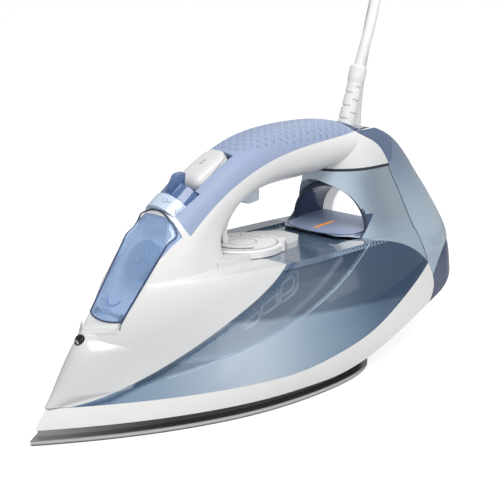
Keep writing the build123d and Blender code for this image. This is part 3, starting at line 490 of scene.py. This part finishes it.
class IRON_OT_blue_casings(bpy.types.Operator):
    """Translucent blue tank, its windows, the tower and the back cover."""
    bl_idname = "iron.blue_casings"
    bl_label = "Blue casings"

    def execute(self, context):
        tint = colours()
        paint(self.tank("Tank", 0.08), "water_tank")
        paint(self.tank("Tank window", 0.6), "tank_windows")
        paint(self.tower(), "rear_tower")
        paint(self.cover(), "back_cover", "cord_bezel")
        navy = plastic("Navy", tint.navy, 0.15, coat=0.8)
        paint(navy, "heel_plate", "tunnel_lining")
        paint(plastic("Gasket", (0.16, 0.19, 0.23), 0.5), "handle_gasket")
        self.ribs()
        return {"FINISHED"}

    def ribs(self):
        """Pale rounded frames moulded on the inside, seen through the window."""
        pale = plastic("Tank rib", (0.90, 0.94, 0.97), 0.3)
        turn = math.tau * np.arange(80) / 80
        frames = ((157.0, 66.5, 9.0, 7.5), (157.0, 66.5, 5.5, 4.2), (143.0, 58.5, 8.0, 3.4),
                  (128.0, 52.0, 6.0, 2.6))
        for side in (-1, 1):
            for i, (x, z, wide, high) in enumerate(frames):
                c, s = np.cos(turn), np.sin(turn)
                along = wide * np.sign(c) * np.abs(c) ** 0.6
                up = high * np.sign(s) * np.abs(s) ** 0.6 + 0.32 * along
                path = np.stack([x + along, np.full(80, side * RIB_SIDE), z + up], axis=1)
                tube(f"Tank_rib_{side + 1}_{i + 1}", path, 0.9, "iron", pale,
                     closed=True)

    def tank(self, name, clear):
        """Pale blue at the nose and a painted highlight under the waist line, deep blue above it and at
        the heel.
        """
        tint = colours()
        deep, mid, pale = tuple(tint.tank_deep), tuple(tint.tank_mid), tuple(tint.tank_highlight)
        window = tuple(tint.window)
        material, tree, base = shaded(name, clear=clear, tint=(0.75, 0.82, 0.9))
        # The pale stop of this lower ramp is the painted highlight under the waist line.
        low = along_nose(tree, 0, 324, [(0.0, (0.46, 0.58, 0.70)), (0.2, (0.52, 0.62, 0.72)),
                                        (0.36, pale), (0.47, (0.62, 0.71, 0.79)), (0.58, mid),
                                        (0.7, (0.27, 0.38, 0.50)), (1.0, deep)])
        high = along_nose(tree, 0, 324, [(0.0, (0.50, 0.60, 0.70)), (0.4, window), (0.52, window),
                                         (0.66, deep), (1.0, deep)])
        waist = nose_plane(tree, 0.085, 1.0, 63.0, 2.5)
        colour = blend(tree, waist, low, high)
        colour = blend(tree, stroke(tree, TANK_HEM, 4.5, 2.0), colour, (0.27, 0.38, 0.50))
        colour = blend(tree, stroke(tree, WINDOW_SEAM, 0.9), colour, (0.78, 0.86, 0.92))
        strip = product(tree, stroke(tree, TANK_STRIP, 3.2, 0.6), 0.45)
        colour = blend(tree, strip, colour, (0.66, 0.74, 0.82))
        tree.links.new(blend(tree, self.diamonds(tree), colour, (0.66, 0.75, 0.83)), base)
        return material

    def diamonds(self, tree):
        """Small raised diamonds on the flat top between the dial and the tower."""
        place = tree.nodes.new("ShaderNodeTexCoord")
        turn = tree.nodes.new("ShaderNodeMapping")
        turn.inputs["Rotation"].default_value = (0, 0, math.radians(45))
        checks = tree.nodes.new("ShaderNodeTexChecker")
        checks.inputs["Scale"].default_value = 1 / 0.0023
        tree.links.new(place.outputs["Object"], turn.inputs["Vector"])
        tree.links.new(turn.outputs[0], checks.inputs["Vector"])
        return product(tree, checks.outputs["Fac"], nose_plane(tree, 0, 1.0, 78.2, 0.4),
                       nose_plane(tree, 1.0, 0, 186.0, 10.0), 0.5)

    def tower(self):
        """Painted highlight on the front pillar, painted shade in a dark band under the neck, and a
        grey-blue side.
        """
        material, tree, base = shaded("Tower", roughness=0.15, clear=0.06)
        # Along X: a painted highlight on the front pillar, a painted shade band under the neck, then
        # the grey-blue side.
        side = along_nose(tree, 222, 302, [(0.0, (0.84, 0.91, 0.97)), (0.18, (0.76, 0.83, 0.89)),
                                           (0.32, (0.47, 0.53, 0.59)), (0.5, (0.56, 0.62, 0.67)),
                                           (1.0, (0.62, 0.69, 0.74))])
        low = blend(tree, nose_plane(tree, 0, -1.0, -90.0, 14.0), side, (0.62, 0.70, 0.76))
        seam = stroke(tree, COVER_SEAM, 1.3, 0.3)
        tree.links.new(blend(tree, seam, low, (0.22, 0.30, 0.40)), base)
        return material

    def cover(self):
        """Blue-grey at the top, paler towards the heel, with a navy edge and a pale painted highlight.
        """
        navy, pale = (0.36, 0.43, 0.56), (0.80, 0.87, 0.92)
        material, tree, base = shaded("Back cover", roughness=0.14, clear=0.06)
        height = plane_value(tree, (0.0, 0.0, 1000 / 90.0), -60 / 90.0)
        colour = ramp(tree, height, [(0.0, (0.70, 0.78, 0.84)), (0.35, (0.66, 0.73, 0.79)),
                                     (0.6, (0.52, 0.60, 0.68)), (0.8, (0.42, 0.49, 0.60)),
                                     (1.0, (0.40, 0.47, 0.58))])
        wedge = product(tree, nose_plane(tree, -1.0, 0.55, -207.0, 0.8),
                        nose_plane(tree, 0, 1.0, 124.0, 1.0))
        edge = product(tree, nose_plane(tree, 1.0, 0.75, 388.5, 1.6),
                       nose_plane(tree, 0, 1.0, 96.0, 3.0))
        # Painted highlight: a pale band across the lower part of the cover.
        highlight_streak = product(tree, nose_plane(tree, 1.0, 0.42, 351.0, 1.6),
                         nose_plane(tree, 0, -1.0, -101.0, 6.0))
        colour = blend(tree, highlight_streak, colour, pale)
        colour = blend(tree, wedge, colour, navy)
        tree.links.new(blend(tree, edge, colour, navy), base)
        return material


class IRON_OT_tunnel_ring(bpy.types.Operator):
    """Dark rounded edge where the tunnel opens towards the nose."""
    bl_idname = "iron.tunnel_ring"
    bl_label = "Tunnel ring"

    def execute(self, context):
        dark = plastic("Tunnel ring", (0.20, 0.25, 0.33), 0.3, coat=0.5)
        angle = np.radians(np.linspace(0, 180, 72))
        arc = np.stack([np.full(72, 241.6), -32.0 * np.cos(angle), 84.0 + 26.6 * np.sin(angle)],
                       axis=1)
        tube("Tunnel_edge", arc, 1.5, "iron", dark)
        side = np.array([(241.4, 31.8, 84.4), (237.0, 31.0, 83.6), (232.0, 29.8, 82.9),
                         (227.0, 25.0, 82.5), (223.2, 16.0, 82.4), (221.4, 8.0, 82.4),
                         (221.0, 0.0, 82.4)])
        whole = np.concatenate([side, (side * (1, -1, 1))[-2::-1]])
        tube("Platform_edge", whole, 0.4, "iron", dark)
        return {"FINISHED"}


DOTS_FROM = 0.146          # height above which the grip has dots, in metres


class IRON_OT_grip(bpy.types.Operator):
    """Soft lavender grip with rows of small raised dots, and the platform in the tunnel."""
    bl_idname = "iron.grip"
    bl_label = "Grip"

    def execute(self, context):
        material, tree, shader = new_material("Soft grip")
        set_inputs(shader, {"Base Color": linear(colours().lavender), "Roughness": 0.5})
        tree.links.new(self.dots(tree), shader.inputs["Normal"])
        paint(material, "grip_top")
        paint(plastic("Platform", colours().lavender, 0.4), "light_platform")
        glow = plastic("Amber light", colours().amber, 0.3)
        set_inputs(glow.node_tree.nodes["Principled BSDF"],
                   {"Emission Color": linear(colours().amber), "Emission Strength": 0.35})
        paint(glow, "light_bar")
        return {"FINISHED"}

    def dots(self, tree):
        """Bump from a lattice of round dots on the top of the grip."""
        place = tree.nodes.new("ShaderNodeTexCoord")
        turn = tree.nodes.new("ShaderNodeMapping")
        turn.inputs["Rotation"].default_value = (0, 0, math.radians(45))
        turn.inputs["Scale"].default_value = (1 / sizes().dot_pitch,) * 3
        fraction = tree.nodes.new("ShaderNodeVectorMath")
        fraction.operation = "FRACTION"
        centre = tree.nodes.new("ShaderNodeVectorMath")
        centre.operation = "SUBTRACT"
        centre.inputs[1].default_value = (0.5, 0.5, 0.0)
        flat = tree.nodes.new("ShaderNodeVectorMath")
        flat.operation = "MULTIPLY"
        flat.inputs[1].default_value = (1, 1, 0)
        length = tree.nodes.new("ShaderNodeVectorMath")
        length.operation = "LENGTH"
        step = tree.nodes.new("ShaderNodeMapRange")
        set_inputs(step, {"From Min": 0.20, "From Max": 0.32, "To Min": 1.0, "To Max": 0.0})
        above = math_node(tree, "GREATER_THAN", position(tree)[2], DOTS_FROM)
        bump = tree.nodes.new("ShaderNodeBump")
        bump.inputs["Distance"].default_value = 0.0006
        links = tree.links
        links.new(place.outputs["Object"], turn.inputs["Vector"])
        links.new(turn.outputs[0], fraction.inputs[0])
        links.new(fraction.outputs[0], centre.inputs[0])
        links.new(centre.outputs[0], flat.inputs[0])
        links.new(flat.outputs[0], length.inputs[0])
        links.new(length.outputs["Value"], step.inputs["Value"])
        links.new(product(tree, step.outputs[0], above), bump.inputs["Height"])
        return bump.outputs[0]


class IRON_OT_front_pieces(bpy.types.Operator):
    """Filling door, its valve, the collar, the selector, the nozzle and the trigger."""
    bl_idname = "iron.front_pieces"
    bl_label = "Front pieces"

    def execute(self, context):
        tint = colours()
        paint(plastic("Door", tint.door, 0.08, coat=1.0, clear=0.8), "filling_door")
        paint(plastic("Clear", (0.80, 0.86, 0.93), 0.1, coat=0.6, clear=0.45), "inlet_funnel",
              "steam_trigger")
        paint(plastic("Valve", (0.42, 0.45, 0.50), 0.15, coat=0.8), "door_plug")
        paint(plastic("Collar", tint.collar, 0.2, coat=0.6), "collar_ring")
        paint(plastic("Selector", tint.selector, 0.12, coat=1.0, clear=0.25), "steam_selector")
        paint(plastic("Black", (0.06, 0.06, 0.07), 0.4), "spray_nozzle")
        paint(plastic("Pin steel", (0.7, 0.7, 0.7), 0.25, metallic=1.0), "door_hinge_pin")
        return {"FINISHED"}


KEY_LENGTH, KEY_HALF, KEY_SLOPE = 32.4, 10.5, 30.27      # millimetres, and degrees
KEY_SEAT = (117.5, 124.5)  # x and z of its lower end


class IRON_OT_boost_key(bpy.types.Operator):
    """Rounded steam boost key with a seam on its side and a plain burst mark on top."""
    bl_idname = "iron.boost_key"
    bl_label = "Boost key"

    def execute(self, context):
        """Stations u along the seat, each half a fourth-power ellipse, height(u) by width(u)."""
        u = KEY_LENGTH * (0.5 - 0.5 * np.cos(np.radians(np.linspace(0, 180, 64))))
        around = np.radians(np.linspace(0, 180, 56))
        side = (KEY_HALF * self.width(u)[:, None] * np.sign(np.cos(around))
                * np.abs(np.cos(around)) ** 0.5)
        high = self.height(u)[:, None] * np.abs(np.sin(around)) ** 0.5
        rings = metres(self.place(u[:, None] + 0 * side, side, high))
        key = place_mesh("Boost_key", grid_mesh("Boost key", rings[:, ::-1], close_v=True), "boost",
                         plastic("Boost key", colours().grey, 0.32, coat=0.3))
        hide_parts("boost_button")
        mark = plastic("Key mark", (0.60, 0.61, 0.63), 0.5)
        path = np.array([(31.2, 6.2), (27.0, 5.2), (20.0, 4.1), (12.0, 2.9), (6.0, 1.6)])
        edge = -KEY_HALF * self.width(path[:, 0]) + 0.05
        tube("Boost_seam", self.place(path[:, 0], edge, path[:, 1]), 0.16, "boost",
             mark)
        for i, (du, dy) in enumerate(((2.2, 1.6), (2.2, -1.6), (2.6, 0.0))):
            t = np.linspace(-1, 1, 9)
            t = t[np.abs(t) > 0.2]
            for name, half in (("a", t[t < 0]), ("b", t[t > 0])):
                spot = 19.0 + du * half
                tube(f"Boost_mark_{i + 1}{name}", self.place(spot, dy * half, self.height(spot)),
                     0.18, "boost", mark)
        return {"FINISHED"}

    def width(self, u):
        """Share of the full half width: rounded at the lower end, narrower at the upper one."""
        lower = (1 - np.clip(1 - u / 7.0, 0, 1) ** 2.6) ** 0.42
        return lower * (1 - 0.55 * np.clip(u / 6.0 - 4.4, 0, 1) ** 2)

    def height(self, u):
        """Height off the seat: quick rise, slow fall, rounded end."""
        rise = 7.8 * (1 - np.clip(1 - u / 8.0, 0, 1) ** 2.2) ** 0.5
        rise = rise - 0.9 * smooth_step(u, 12.0, 32.0)
        return rise * (1 - np.clip(u / 1.6 - 19.25, 0, 1) ** 3)

    def place(self, u, y, n):
        """Nose coordinates of a point u along the seat and n off it."""
        slope = math.radians(KEY_SLOPE)
        x = KEY_SEAT[0] + u * math.cos(slope) - n * math.sin(slope)
        z = KEY_SEAT[1] + u * math.sin(slope) + n * math.cos(slope)
        return np.stack(np.broadcast_arrays(x, y, z), axis=-1)


DOOR_FOOT, DOOR_HEAD = (7.1, 14.6), (65.0, 19.4)     # (up the slope, half width) of its corners
COLLAR_RADIUS, COLLAR_SLOPE = 15.05, 36.0
COLLAR_CENTRE = (108.8, 114.1)


class IRON_OT_door_details(bpy.types.Operator):
    """Edge, lip, crescent and catches of the filling door, rings of the valve, collar marks."""
    bl_idname = "iron.door_details"
    bl_label = "Door details"

    def execute(self, context):
        edge = plastic("Door edge", colours().edge, 0.25, coat=0.5)
        tube("Door_edge", self.outline(0.25), 0.5, "door", edge, closed=True)
        lip = plastic("Door lip", (0.82, 0.88, 0.95), 0.12, coat=1.0)
        foot = self.bow(6.6, -13.2, 2.6, -1)
        tube("Door_lip", ridge_point(foot[:, 0], foot[:, 1], -1.5), 1.3, "door", lip)
        blue = plastic("Crescent", (0.42, 0.54, 0.78), 0.2, coat=0.8)
        angle = np.radians(np.linspace(95, 250, 40))
        bend = ridge_point(20.5 + 6.4 * np.cos(angle), 1.0 + 6.4 * np.sin(angle), -1.9)
        tube("Door_crescent", bend, 0.55, "door", blue)
        for side in (-1, 1):
            catch = ridge_point(np.linspace(6.5, 11, 8), side * 11.5 + np.zeros(8), -1.4)
            tube(f"Door_catch_{side + 1}", catch, 1.0, "door", edge)
        self.collar_marks()
        ring = plastic("Valve ring", (0.50, 0.54, 0.60), 0.15, coat=0.6)
        angle = math.tau * np.arange(64) / 64
        for i, (radius, depth) in enumerate(((11.4, -5.4), (8.6, -5.3), (4.8, -5.2), (2.4, -3.0))):
            flat = ridge_point(46.5 + radius * np.cos(angle), 0 * angle, depth)
            flat[:, 1] = radius * np.sin(angle)
            tube(f"Valve_ring_{i + 1}", flat, 0.4, "door", ring, closed=True)
        return {"FINISHED"}

    def collar_marks(self):
        """Two plain marks on the collar, each an open ring and a stroke."""
        ink = plastic("Collar ink", (0.50, 0.55, 0.62), 0.5)
        turn = np.radians(np.linspace(0, 320, 30))
        step = np.linspace(-1.6, 1.6, 12)
        for i, (along, angle, size) in enumerate(((-4.4, 17, 1.5), (-6.4, 57, 1.2))):
            path = self.on_drum(along + size * np.cos(turn), angle + size * 3.8 * np.sin(turn))
            tube(f"Collar_mark_{i + 1}", path, 0.16, "iron", ink)
            path = self.on_drum(along + 0.3 * step, angle + 9.5 + 3.0 * step)
            tube(f"Collar_stroke_{i + 1}", path, 0.16, "iron", ink)

    def on_drum(self, along, angle):
        """Nose coordinates on the collar, along its axis and at an angle towards the near side."""
        slope, turn = math.radians(COLLAR_SLOPE), np.radians(angle)
        x = (COLLAR_CENTRE[0] + along * math.cos(slope)
             - COLLAR_RADIUS * np.cos(turn) * math.sin(slope))
        z = (COLLAR_CENTRE[1] + along * math.sin(slope)
             + COLLAR_RADIUS * np.cos(turn) * math.cos(slope))
        return np.stack([x, -COLLAR_RADIUS * np.sin(turn), z], axis=-1)

    def outline(self, lift):
        """The door's rounded trapezoid on the round face, lower at the corners of its head."""
        (foot, narrow), (head, wide) = DOOR_FOOT, DOOR_HEAD
        bottom = self.bow(foot, -narrow, 3.0, -1)
        right = np.stack([np.linspace(foot, head, 40), np.linspace(narrow, wide, 40)], axis=1)[1:]
        top = self.bow(head, wide, 10.0, 1)[1:]
        left = np.stack([np.linspace(head, foot, 40), np.linspace(-wide, -narrow, 40)],
                        axis=1)[1:-1]
        path = np.concatenate([bottom, right, top, left])
        sunk = smooth_step(path[:, 0], 56.0, head) * smooth_step(np.abs(path[:, 1]), 12.0, wide)
        return ridge_point(path[:, 0], path[:, 1], lift - 3.0 * sunk)

    def bow(self, level, start, rise, way):
        """Circular arc from y = start to -start whose middle rises by rise up (1) or down (-1)."""
        radius = (start ** 2 + rise ** 2) / (2 * rise)
        y = start * np.cos(np.radians(np.linspace(0, 180, 32)))
        return np.stack([level + way * (np.sqrt(radius ** 2 - y ** 2) - radius + rise), y], axis=1)


class IRON_OT_metal(bpy.types.Operator):
    """Polished soleplate, the heater above it and the small metal pieces."""
    bl_idname = "iron.metal"
    bl_label = "Metal pieces"

    def execute(self, context):
        paint(self.sole(), "soleplate")
        for name, colour, roughness, *nodes in (
                ("Heater", (0.45, 0.40, 0.36), 0.4, "heating_element"),
                ("Sheet", (0.75, 0.75, 0.75), 0.35, "steam_chamber_cover", "cover_screws"),
                ("Brass", (0.80, 0.66, 0.36), 0.3, "dosing_valve"),
                ("Plug pins", (0.78, 0.76, 0.70), 0.25, "plug_pins")):
            paint(plastic(name, colour, roughness, metallic=1.0), *nodes)
        paint(plastic("Circuit board", (0.10, 0.30, 0.16), 0.5), "control_board")
        return {"FINISHED"}

    def sole(self):
        """Polished metal: a painted highlight along the edge, and painted shadow above it that makes
        the upper side charcoal, paler at the nose.
        """
        material, tree, base = shaded("Soleplate", roughness=0.22, coat=0.0)
        base.node.inputs["Metallic"].default_value = 0.85
        height = plane_value(tree, (0.0, 0.0, 1000 / 10.0))
        # The near-white stop is a painted highlight along the polished edge; the dark stops above it
        # are painted shadow.
        rim = ramp(tree, height, [(0.0, (0.50, 0.50, 0.51)), (0.10, (0.55, 0.55, 0.56)),
                                  (0.15, (1.0, 1.0, 1.0)), (0.26, (0.97, 0.97, 0.98)),
                                  (0.32, (0.45, 0.45, 0.46)), (0.6, (0.30, 0.30, 0.31))])
        front = along_nose(tree, 0, 70, [(0.0, (0.80, 0.80, 0.81)), (0.5, (0.50, 0.50, 0.51)),
                                         (1.0, (0.30, 0.30, 0.31))])
        # Painted shadow: above 3 mm the plate takes the charcoal of the front ramp.
        shadowed_flank = nose_plane(tree, 0, 1.0, 3.0, 0.6)
        tree.links.new(blend(tree, shadowed_flank, rim, front), base)
        return material


# --- cord -------------------------------------------------------------------------------------
CORD_ROUTE = ((278.4, -1, 208.8), (294.2, 7.4, 225.8), (312.9, 22.6, 231), (329.2, 38.8, 222.6),
              (337.4, 51, 203.6), (335, 58.8, 156), (335, 60, 107), (334, 62, 60), (327, 73, 24),
              (301, 84, 3.5), (270, 82, 3.5), (245, 77.8, 3.5))
LEAD_ROUTE = ((262, 140, 10.6), (278, 130, 12.2), (292, 125, 14.6), (307, 123.5, 16))
COIL_CENTRE = (215.0, 120.0)
COIL_RADII = (45.4, 38.2, 31.0, 31.0, 38.2, 45.4)   # one for each turn, in millimetres
COIL_LEVELS = (3.5, 10.6)
COIL_TURNS = 5.66
BOOT_TOP = (269.67, 0.0, 185.71)
BOOT_LENGTH = 42.0
BOOT_LEAN = math.radians(19.0)
BOOT_PROFILE = ((-2.0, 6.0), (8.0, 5.6), (27.0, 5.1), (30.5, 5.1), (34.0, 5.8), (41.0, 5.8),
                (BOOT_LENGTH, 5.2), (BOOT_LENGTH, 3.4))     # (along, radius)
SLOT_COUNT, SLOT_PITCH, SLOT_DEPTH = 7, 4.4, 1.3
SLOT_SIDE = math.radians(-43.4)     # direction of every second slot; the others face away from it


class IRON_OT_cord(bpy.types.Operator):
    """Flex: a spline out of the strain relief, down behind the iron, coiled, and on to the plug."""
    bl_idname = "iron.cord"
    bl_label = "Cord"

    def execute(self, context):
        route = [BOOT_TOP, *CORD_ROUTE, *self.coil(), *LEAD_ROUTE]
        curve = bpy.data.curves.new("Flex", "CURVE")
        curve.dimensions = "3D"
        curve.bevel_depth = sizes().cord_radius
        curve.bevel_resolution = 6
        curve.use_fill_caps = True
        spline = curve.splines.new("NURBS")
        spline.points.add(len(route) - 1)
        for spot, place in zip(spline.points, route):
            spot.co = (*point(*place), 1.0)
        spline.order_u = 3
        spline.use_endpoint_u = True
        spline.resolution_u = 6
        flex = bpy.data.objects.new("Flex", curve)
        link(flex, "iron", bpy.data.materials["Cord white"])
        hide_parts("cord", "cord_coil", "plug_lead")
        self.strain_relief()
        return {"FINISHED"}

    def strain_relief(self):
        """Turned body with slots cut in turn from its left and its right."""
        along, radius = np.array(BOOT_PROFILE).T
        t = np.concatenate([np.linspace(-2, 41.8, 440), [BOOT_LENGTH, BOOT_LENGTH]])
        size = np.append(np.interp(t[:-1], along[:-1], radius[:-1]), radius[-1])[:, None]
        angle = (math.tau * np.arange(96) / 96)[None, :]
        for i in range(SLOT_COUNT):
            level, middle = 1.5 + SLOT_PITCH * i, SLOT_SIDE + (math.pi if i % 2 else 0.0)
            turn = np.abs((angle - middle + math.pi) % math.tau - math.pi)
            depth = SLOT_DEPTH * np.exp(-((t[:, None] - level) / 0.55) ** 4)
            size = size - depth * (1 - smooth_step(turn, 1.3, 1.55))
        axis = np.array([math.sin(BOOT_LEAN), 0, math.cos(BOOT_LEAN)])
        side = np.array([math.cos(BOOT_LEAN), 0, -math.sin(BOOT_LEAN)])
        middle = np.array(BOOT_TOP) + (t[:, None] - BOOT_LENGTH) * axis
        rings = (middle[:, None, :] + (size * np.cos(angle))[..., None] * side
                 + (size * np.sin(angle))[..., None] * np.array([0.0, 1.0, 0.0]))
        mesh = grid_mesh("Strain relief", metres(rings), close_v=True)
        piece = place_mesh("Strain_relief", mesh, "iron",
                           bpy.data.materials["Cord white"])
        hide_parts("cord_boot")

    def coil(self):
        """Turns stacked in two layers: each keeps one radius, then shifts to the next."""
        count = int(COIL_TURNS * 24)
        t = np.arange(count + 1) / count * COIL_TURNS
        radius = np.full(len(t), COIL_RADII[0])
        for turn in range(1, len(COIL_RADII)):
            change = COIL_RADII[turn] - COIL_RADII[turn - 1]
            radius += change * smooth_step(t, turn - 0.25, turn - 0.10)
        level = COIL_LEVELS[0] + (COIL_LEVELS[1] - COIL_LEVELS[0]) * smooth_step(t, 2.92, 3.10)
        angle = math.radians(-72) - math.tau * t
        x = COIL_CENTRE[0] + radius * np.cos(angle)
        y = COIL_CENTRE[1] + radius * np.sin(angle)
        return list(zip(x.tolist(), y.tolist(), level.tolist()))

    def length(self, route):
        """Length of the quadratic spline through the middles of the route's legs, in metres."""
        points = np.array(route) * MM
        middles = (points[:-1] + points[1:]) / 2
        starts = np.vstack([points[:1], middles[1:-1]])
        ends = np.vstack([middles[1:-1], points[-1:]])
        t = np.linspace(0, 1, 9)[:, None, None]
        path = (1 - t) ** 2 * starts + 2 * t * (1 - t) * points[1:-1] + t ** 2 * ends
        return float(np.linalg.norm(np.diff(path, axis=0), axis=2).sum())


# --- marks on the dial ------------------------------------------------------------------------
DIAL_CENTRE = (161.0, 0.0)
DIAL_TOP = 86.0


class IRON_OT_dial_marks(bpy.types.Operator):
    """Rings, a temperature arc and ticks printed on the dial."""
    bl_idname = "iron.dial_marks"
    bl_label = "Dial marks"

    def execute(self, context):
        ink = plastic("Dial ink", (0.52, 0.54, 0.57), 0.5)
        dark = plastic("Dial dark ink", (0.25, 0.27, 0.30), 0.5)
        self.arc("Dial_outer_ring", 21.6, 22.2, 0, 360, ink)
        self.arc("Dial_scale", 15.2, 15.8, -10, 250, ink)
        self.arc("Dial_range", 16.8, 18.6, 150, 250, dark)
        for i in range(14):
            angle = 20 * i - 10
            outer = 20.0 if i % 3 == 0 else 18.4
            self.arc(f"Dial_tick_{i + 1}", 16.8, outer, angle - 1.1, angle + 1.1, ink)
        self.arc("Dial_hub", 8.6, 9.1, 0, 360, ink)
        return {"FINISHED"}

    def arc(self, name, inner, outer, start, end, ink):
        """Flat mark between two radii and two angles in degrees, just above the dial."""
        mesh = flat_ring(name, tuple(point(*DIAL_CENTRE, DIAL_TOP + 0.05)), (outer * MM, inner * MM),
                         turns=max(4, int(abs(end - start) / 4)), start=math.radians(start),
                         sweep=math.radians(end - start))
        place_mesh(name, mesh, "dial", ink)


# --- studio ---------------------------------------------------------------------------------------
CAMERA_PLACE = (-308.254, -503.692, 257.668)
CAMERA_AZIMUTH = math.radians(43.368)
CAMERA_ELEVATION = math.radians(14.4247)
CAMERA_ROLL = math.radians(0.9595)
FLOOR_LIFT = 0.79          # light that the floor adds for the camera, so that it stays white


class IRON_OT_studio(bpy.types.Operator):
    """Camera, lamps, white floor and white world."""
    bl_idname = "iron.studio"
    bl_label = "Studio"

    def execute(self, context):
        self.camera(context.scene)
        self.world(context.scene)
        self.floor()
        self.lamp("Key", (-0.30, -0.62, 1.05), (0.0, 0.0, 0.07), (0.8, 0.6), studio().key)
        self.lamp("Fill", (0.45, -1.1, 0.25), (0.05, 0.0, 0.06), (1.2, 0.25), studio().fill)
        self.lamp("Rim", (0.75, 0.35, 0.55), (0.05, 0.0, 0.10), (0.5, 0.8), studio().rim)
        context.scene.view_settings.view_transform = "Standard"
        return {"FINISHED"}

    def camera(self, scene):
        data = bpy.data.cameras.new("Camera")
        data.sensor_width = 36.0
        data.lens = sizes().focal_length
        data.clip_start = 0.01
        right = Vector((math.cos(CAMERA_AZIMUTH), -math.sin(CAMERA_AZIMUTH), 0.0))
        back = Vector((-math.sin(CAMERA_AZIMUTH) * math.cos(CAMERA_ELEVATION),
                       -math.cos(CAMERA_AZIMUTH) * math.cos(CAMERA_ELEVATION),
                       math.sin(CAMERA_ELEVATION)))
        up = back.cross(right)
        level = Matrix((right, up, back)).transposed().to_4x4()
        camera = bpy.data.objects.new("Camera", data)
        camera.matrix_world = (Matrix.Translation(point(*CAMERA_PLACE)) @ level
                               @ Matrix.Rotation(-CAMERA_ROLL, 4, "Z"))
        scene.collection.objects.link(camera)
        scene.camera = camera

    def world(self, scene):
        world = bpy.data.worlds.new("Studio")
        world.use_nodes = True
        tree = world.node_tree
        background = tree.nodes["Background"]
        background.inputs["Color"].default_value = (1, 1, 1, 1)
        tree.links.new(self.seen(tree, studio().ambient), background.inputs["Strength"])
        scene.world = world

    def seen(self, tree, otherwise):
        """1 for rays that see the background directly or through glass, otherwise less."""
        path = tree.nodes.new("ShaderNodeLightPath").outputs
        most = math_node(tree, "MAXIMUM", path["Is Camera Ray"], path["Is Transmission Ray"])
        mix = tree.nodes.new("ShaderNodeMapRange")
        set_inputs(mix, {"To Min": otherwise, "To Max": 1.0})
        tree.links.new(most, mix.inputs["Value"])
        return mix.outputs[0]

    def floor(self):
        """White sheet just under the iron, brighter to the camera than to the iron."""
        corners = np.array([[[-4, -4, 0], [4, -4, 0]], [[-4, 4, 0], [4, 4, 0]]], float)
        corners[..., 2] = -0.0002
        mesh = grid_mesh("Floor", corners)
        material, tree, shader = new_material("Floor")
        set_inputs(shader, {"Base Color": (0.5, 0.5, 0.5, 1), "Roughness": 0.9,
                            "Specular IOR Level": 0.0, "Emission Color": (1, 1, 1, 1)})
        path = tree.nodes.new("ShaderNodeLightPath")
        lift = math_node(tree, "MULTIPLY", path.outputs["Is Camera Ray"], FLOOR_LIFT)
        tree.links.new(lift, shader.inputs["Emission Strength"])
        floor = bpy.data.objects.new("Floor", mesh)
        floor.data.materials.append(material)
        bpy.context.scene.collection.objects.link(floor)

    def lamp(self, name, place, target, size, power):
        data = bpy.data.lights.new(name, "AREA")
        data.shape = "RECTANGLE"
        data.size, data.size_y = size
        data.energy = power
        lamp = bpy.data.objects.new(name, data)
        lamp.location = place
        lamp.rotation_euler = (Vector(target) - Vector(place)).to_track_quat("-Z", "Y").to_euler()
        bpy.context.scene.collection.objects.link(lamp)


# --- panel and registration -----------------------------------------------------------------------
OPERATORS = (IRON_OT_white_casings, IRON_OT_nose_fairing, IRON_OT_blue_casings,
             IRON_OT_tunnel_ring, IRON_OT_grip, IRON_OT_front_pieces, IRON_OT_boost_key,
             IRON_OT_door_details, IRON_OT_metal, IRON_OT_cord, IRON_OT_dial_marks, IRON_OT_studio)
GROUPS = (IronColours, IronSizes, StudioSettings)


class IRON_PT_panel(bpy.types.Panel):
    """Lists the operators that build the iron's looks."""
    bl_idname = "IRON_PT_panel"
    bl_label = "Steam iron"
    bl_space_type = "VIEW_3D"
    bl_region_type = "UI"
    bl_category = "Iron"

    def draw(self, context):
        for operator in OPERATORS:
            self.layout.operator(operator.bl_idname)


def register():
    for item in (*GROUPS, *OPERATORS, IRON_PT_panel):
        bpy.utils.register_class(item)
    bpy.types.Scene.iron_colours = bpy.props.PointerProperty(type=IronColours)
    bpy.types.Scene.iron_sizes = bpy.props.PointerProperty(type=IronSizes)
    bpy.types.Scene.iron_studio = bpy.props.PointerProperty(type=StudioSettings)


def unregister():
    del bpy.types.Scene.iron_colours
    del bpy.types.Scene.iron_sizes
    del bpy.types.Scene.iron_studio
    for item in (IRON_PT_panel, *reversed(OPERATORS), *reversed(GROUPS)):
        bpy.utils.unregister_class(item)


def main():
    register()
    for operator in OPERATORS:
        group, name = operator.bl_idname.split(".")
        getattr(getattr(bpy.ops, group), name)()


if __name__ == "__main__":
    main()
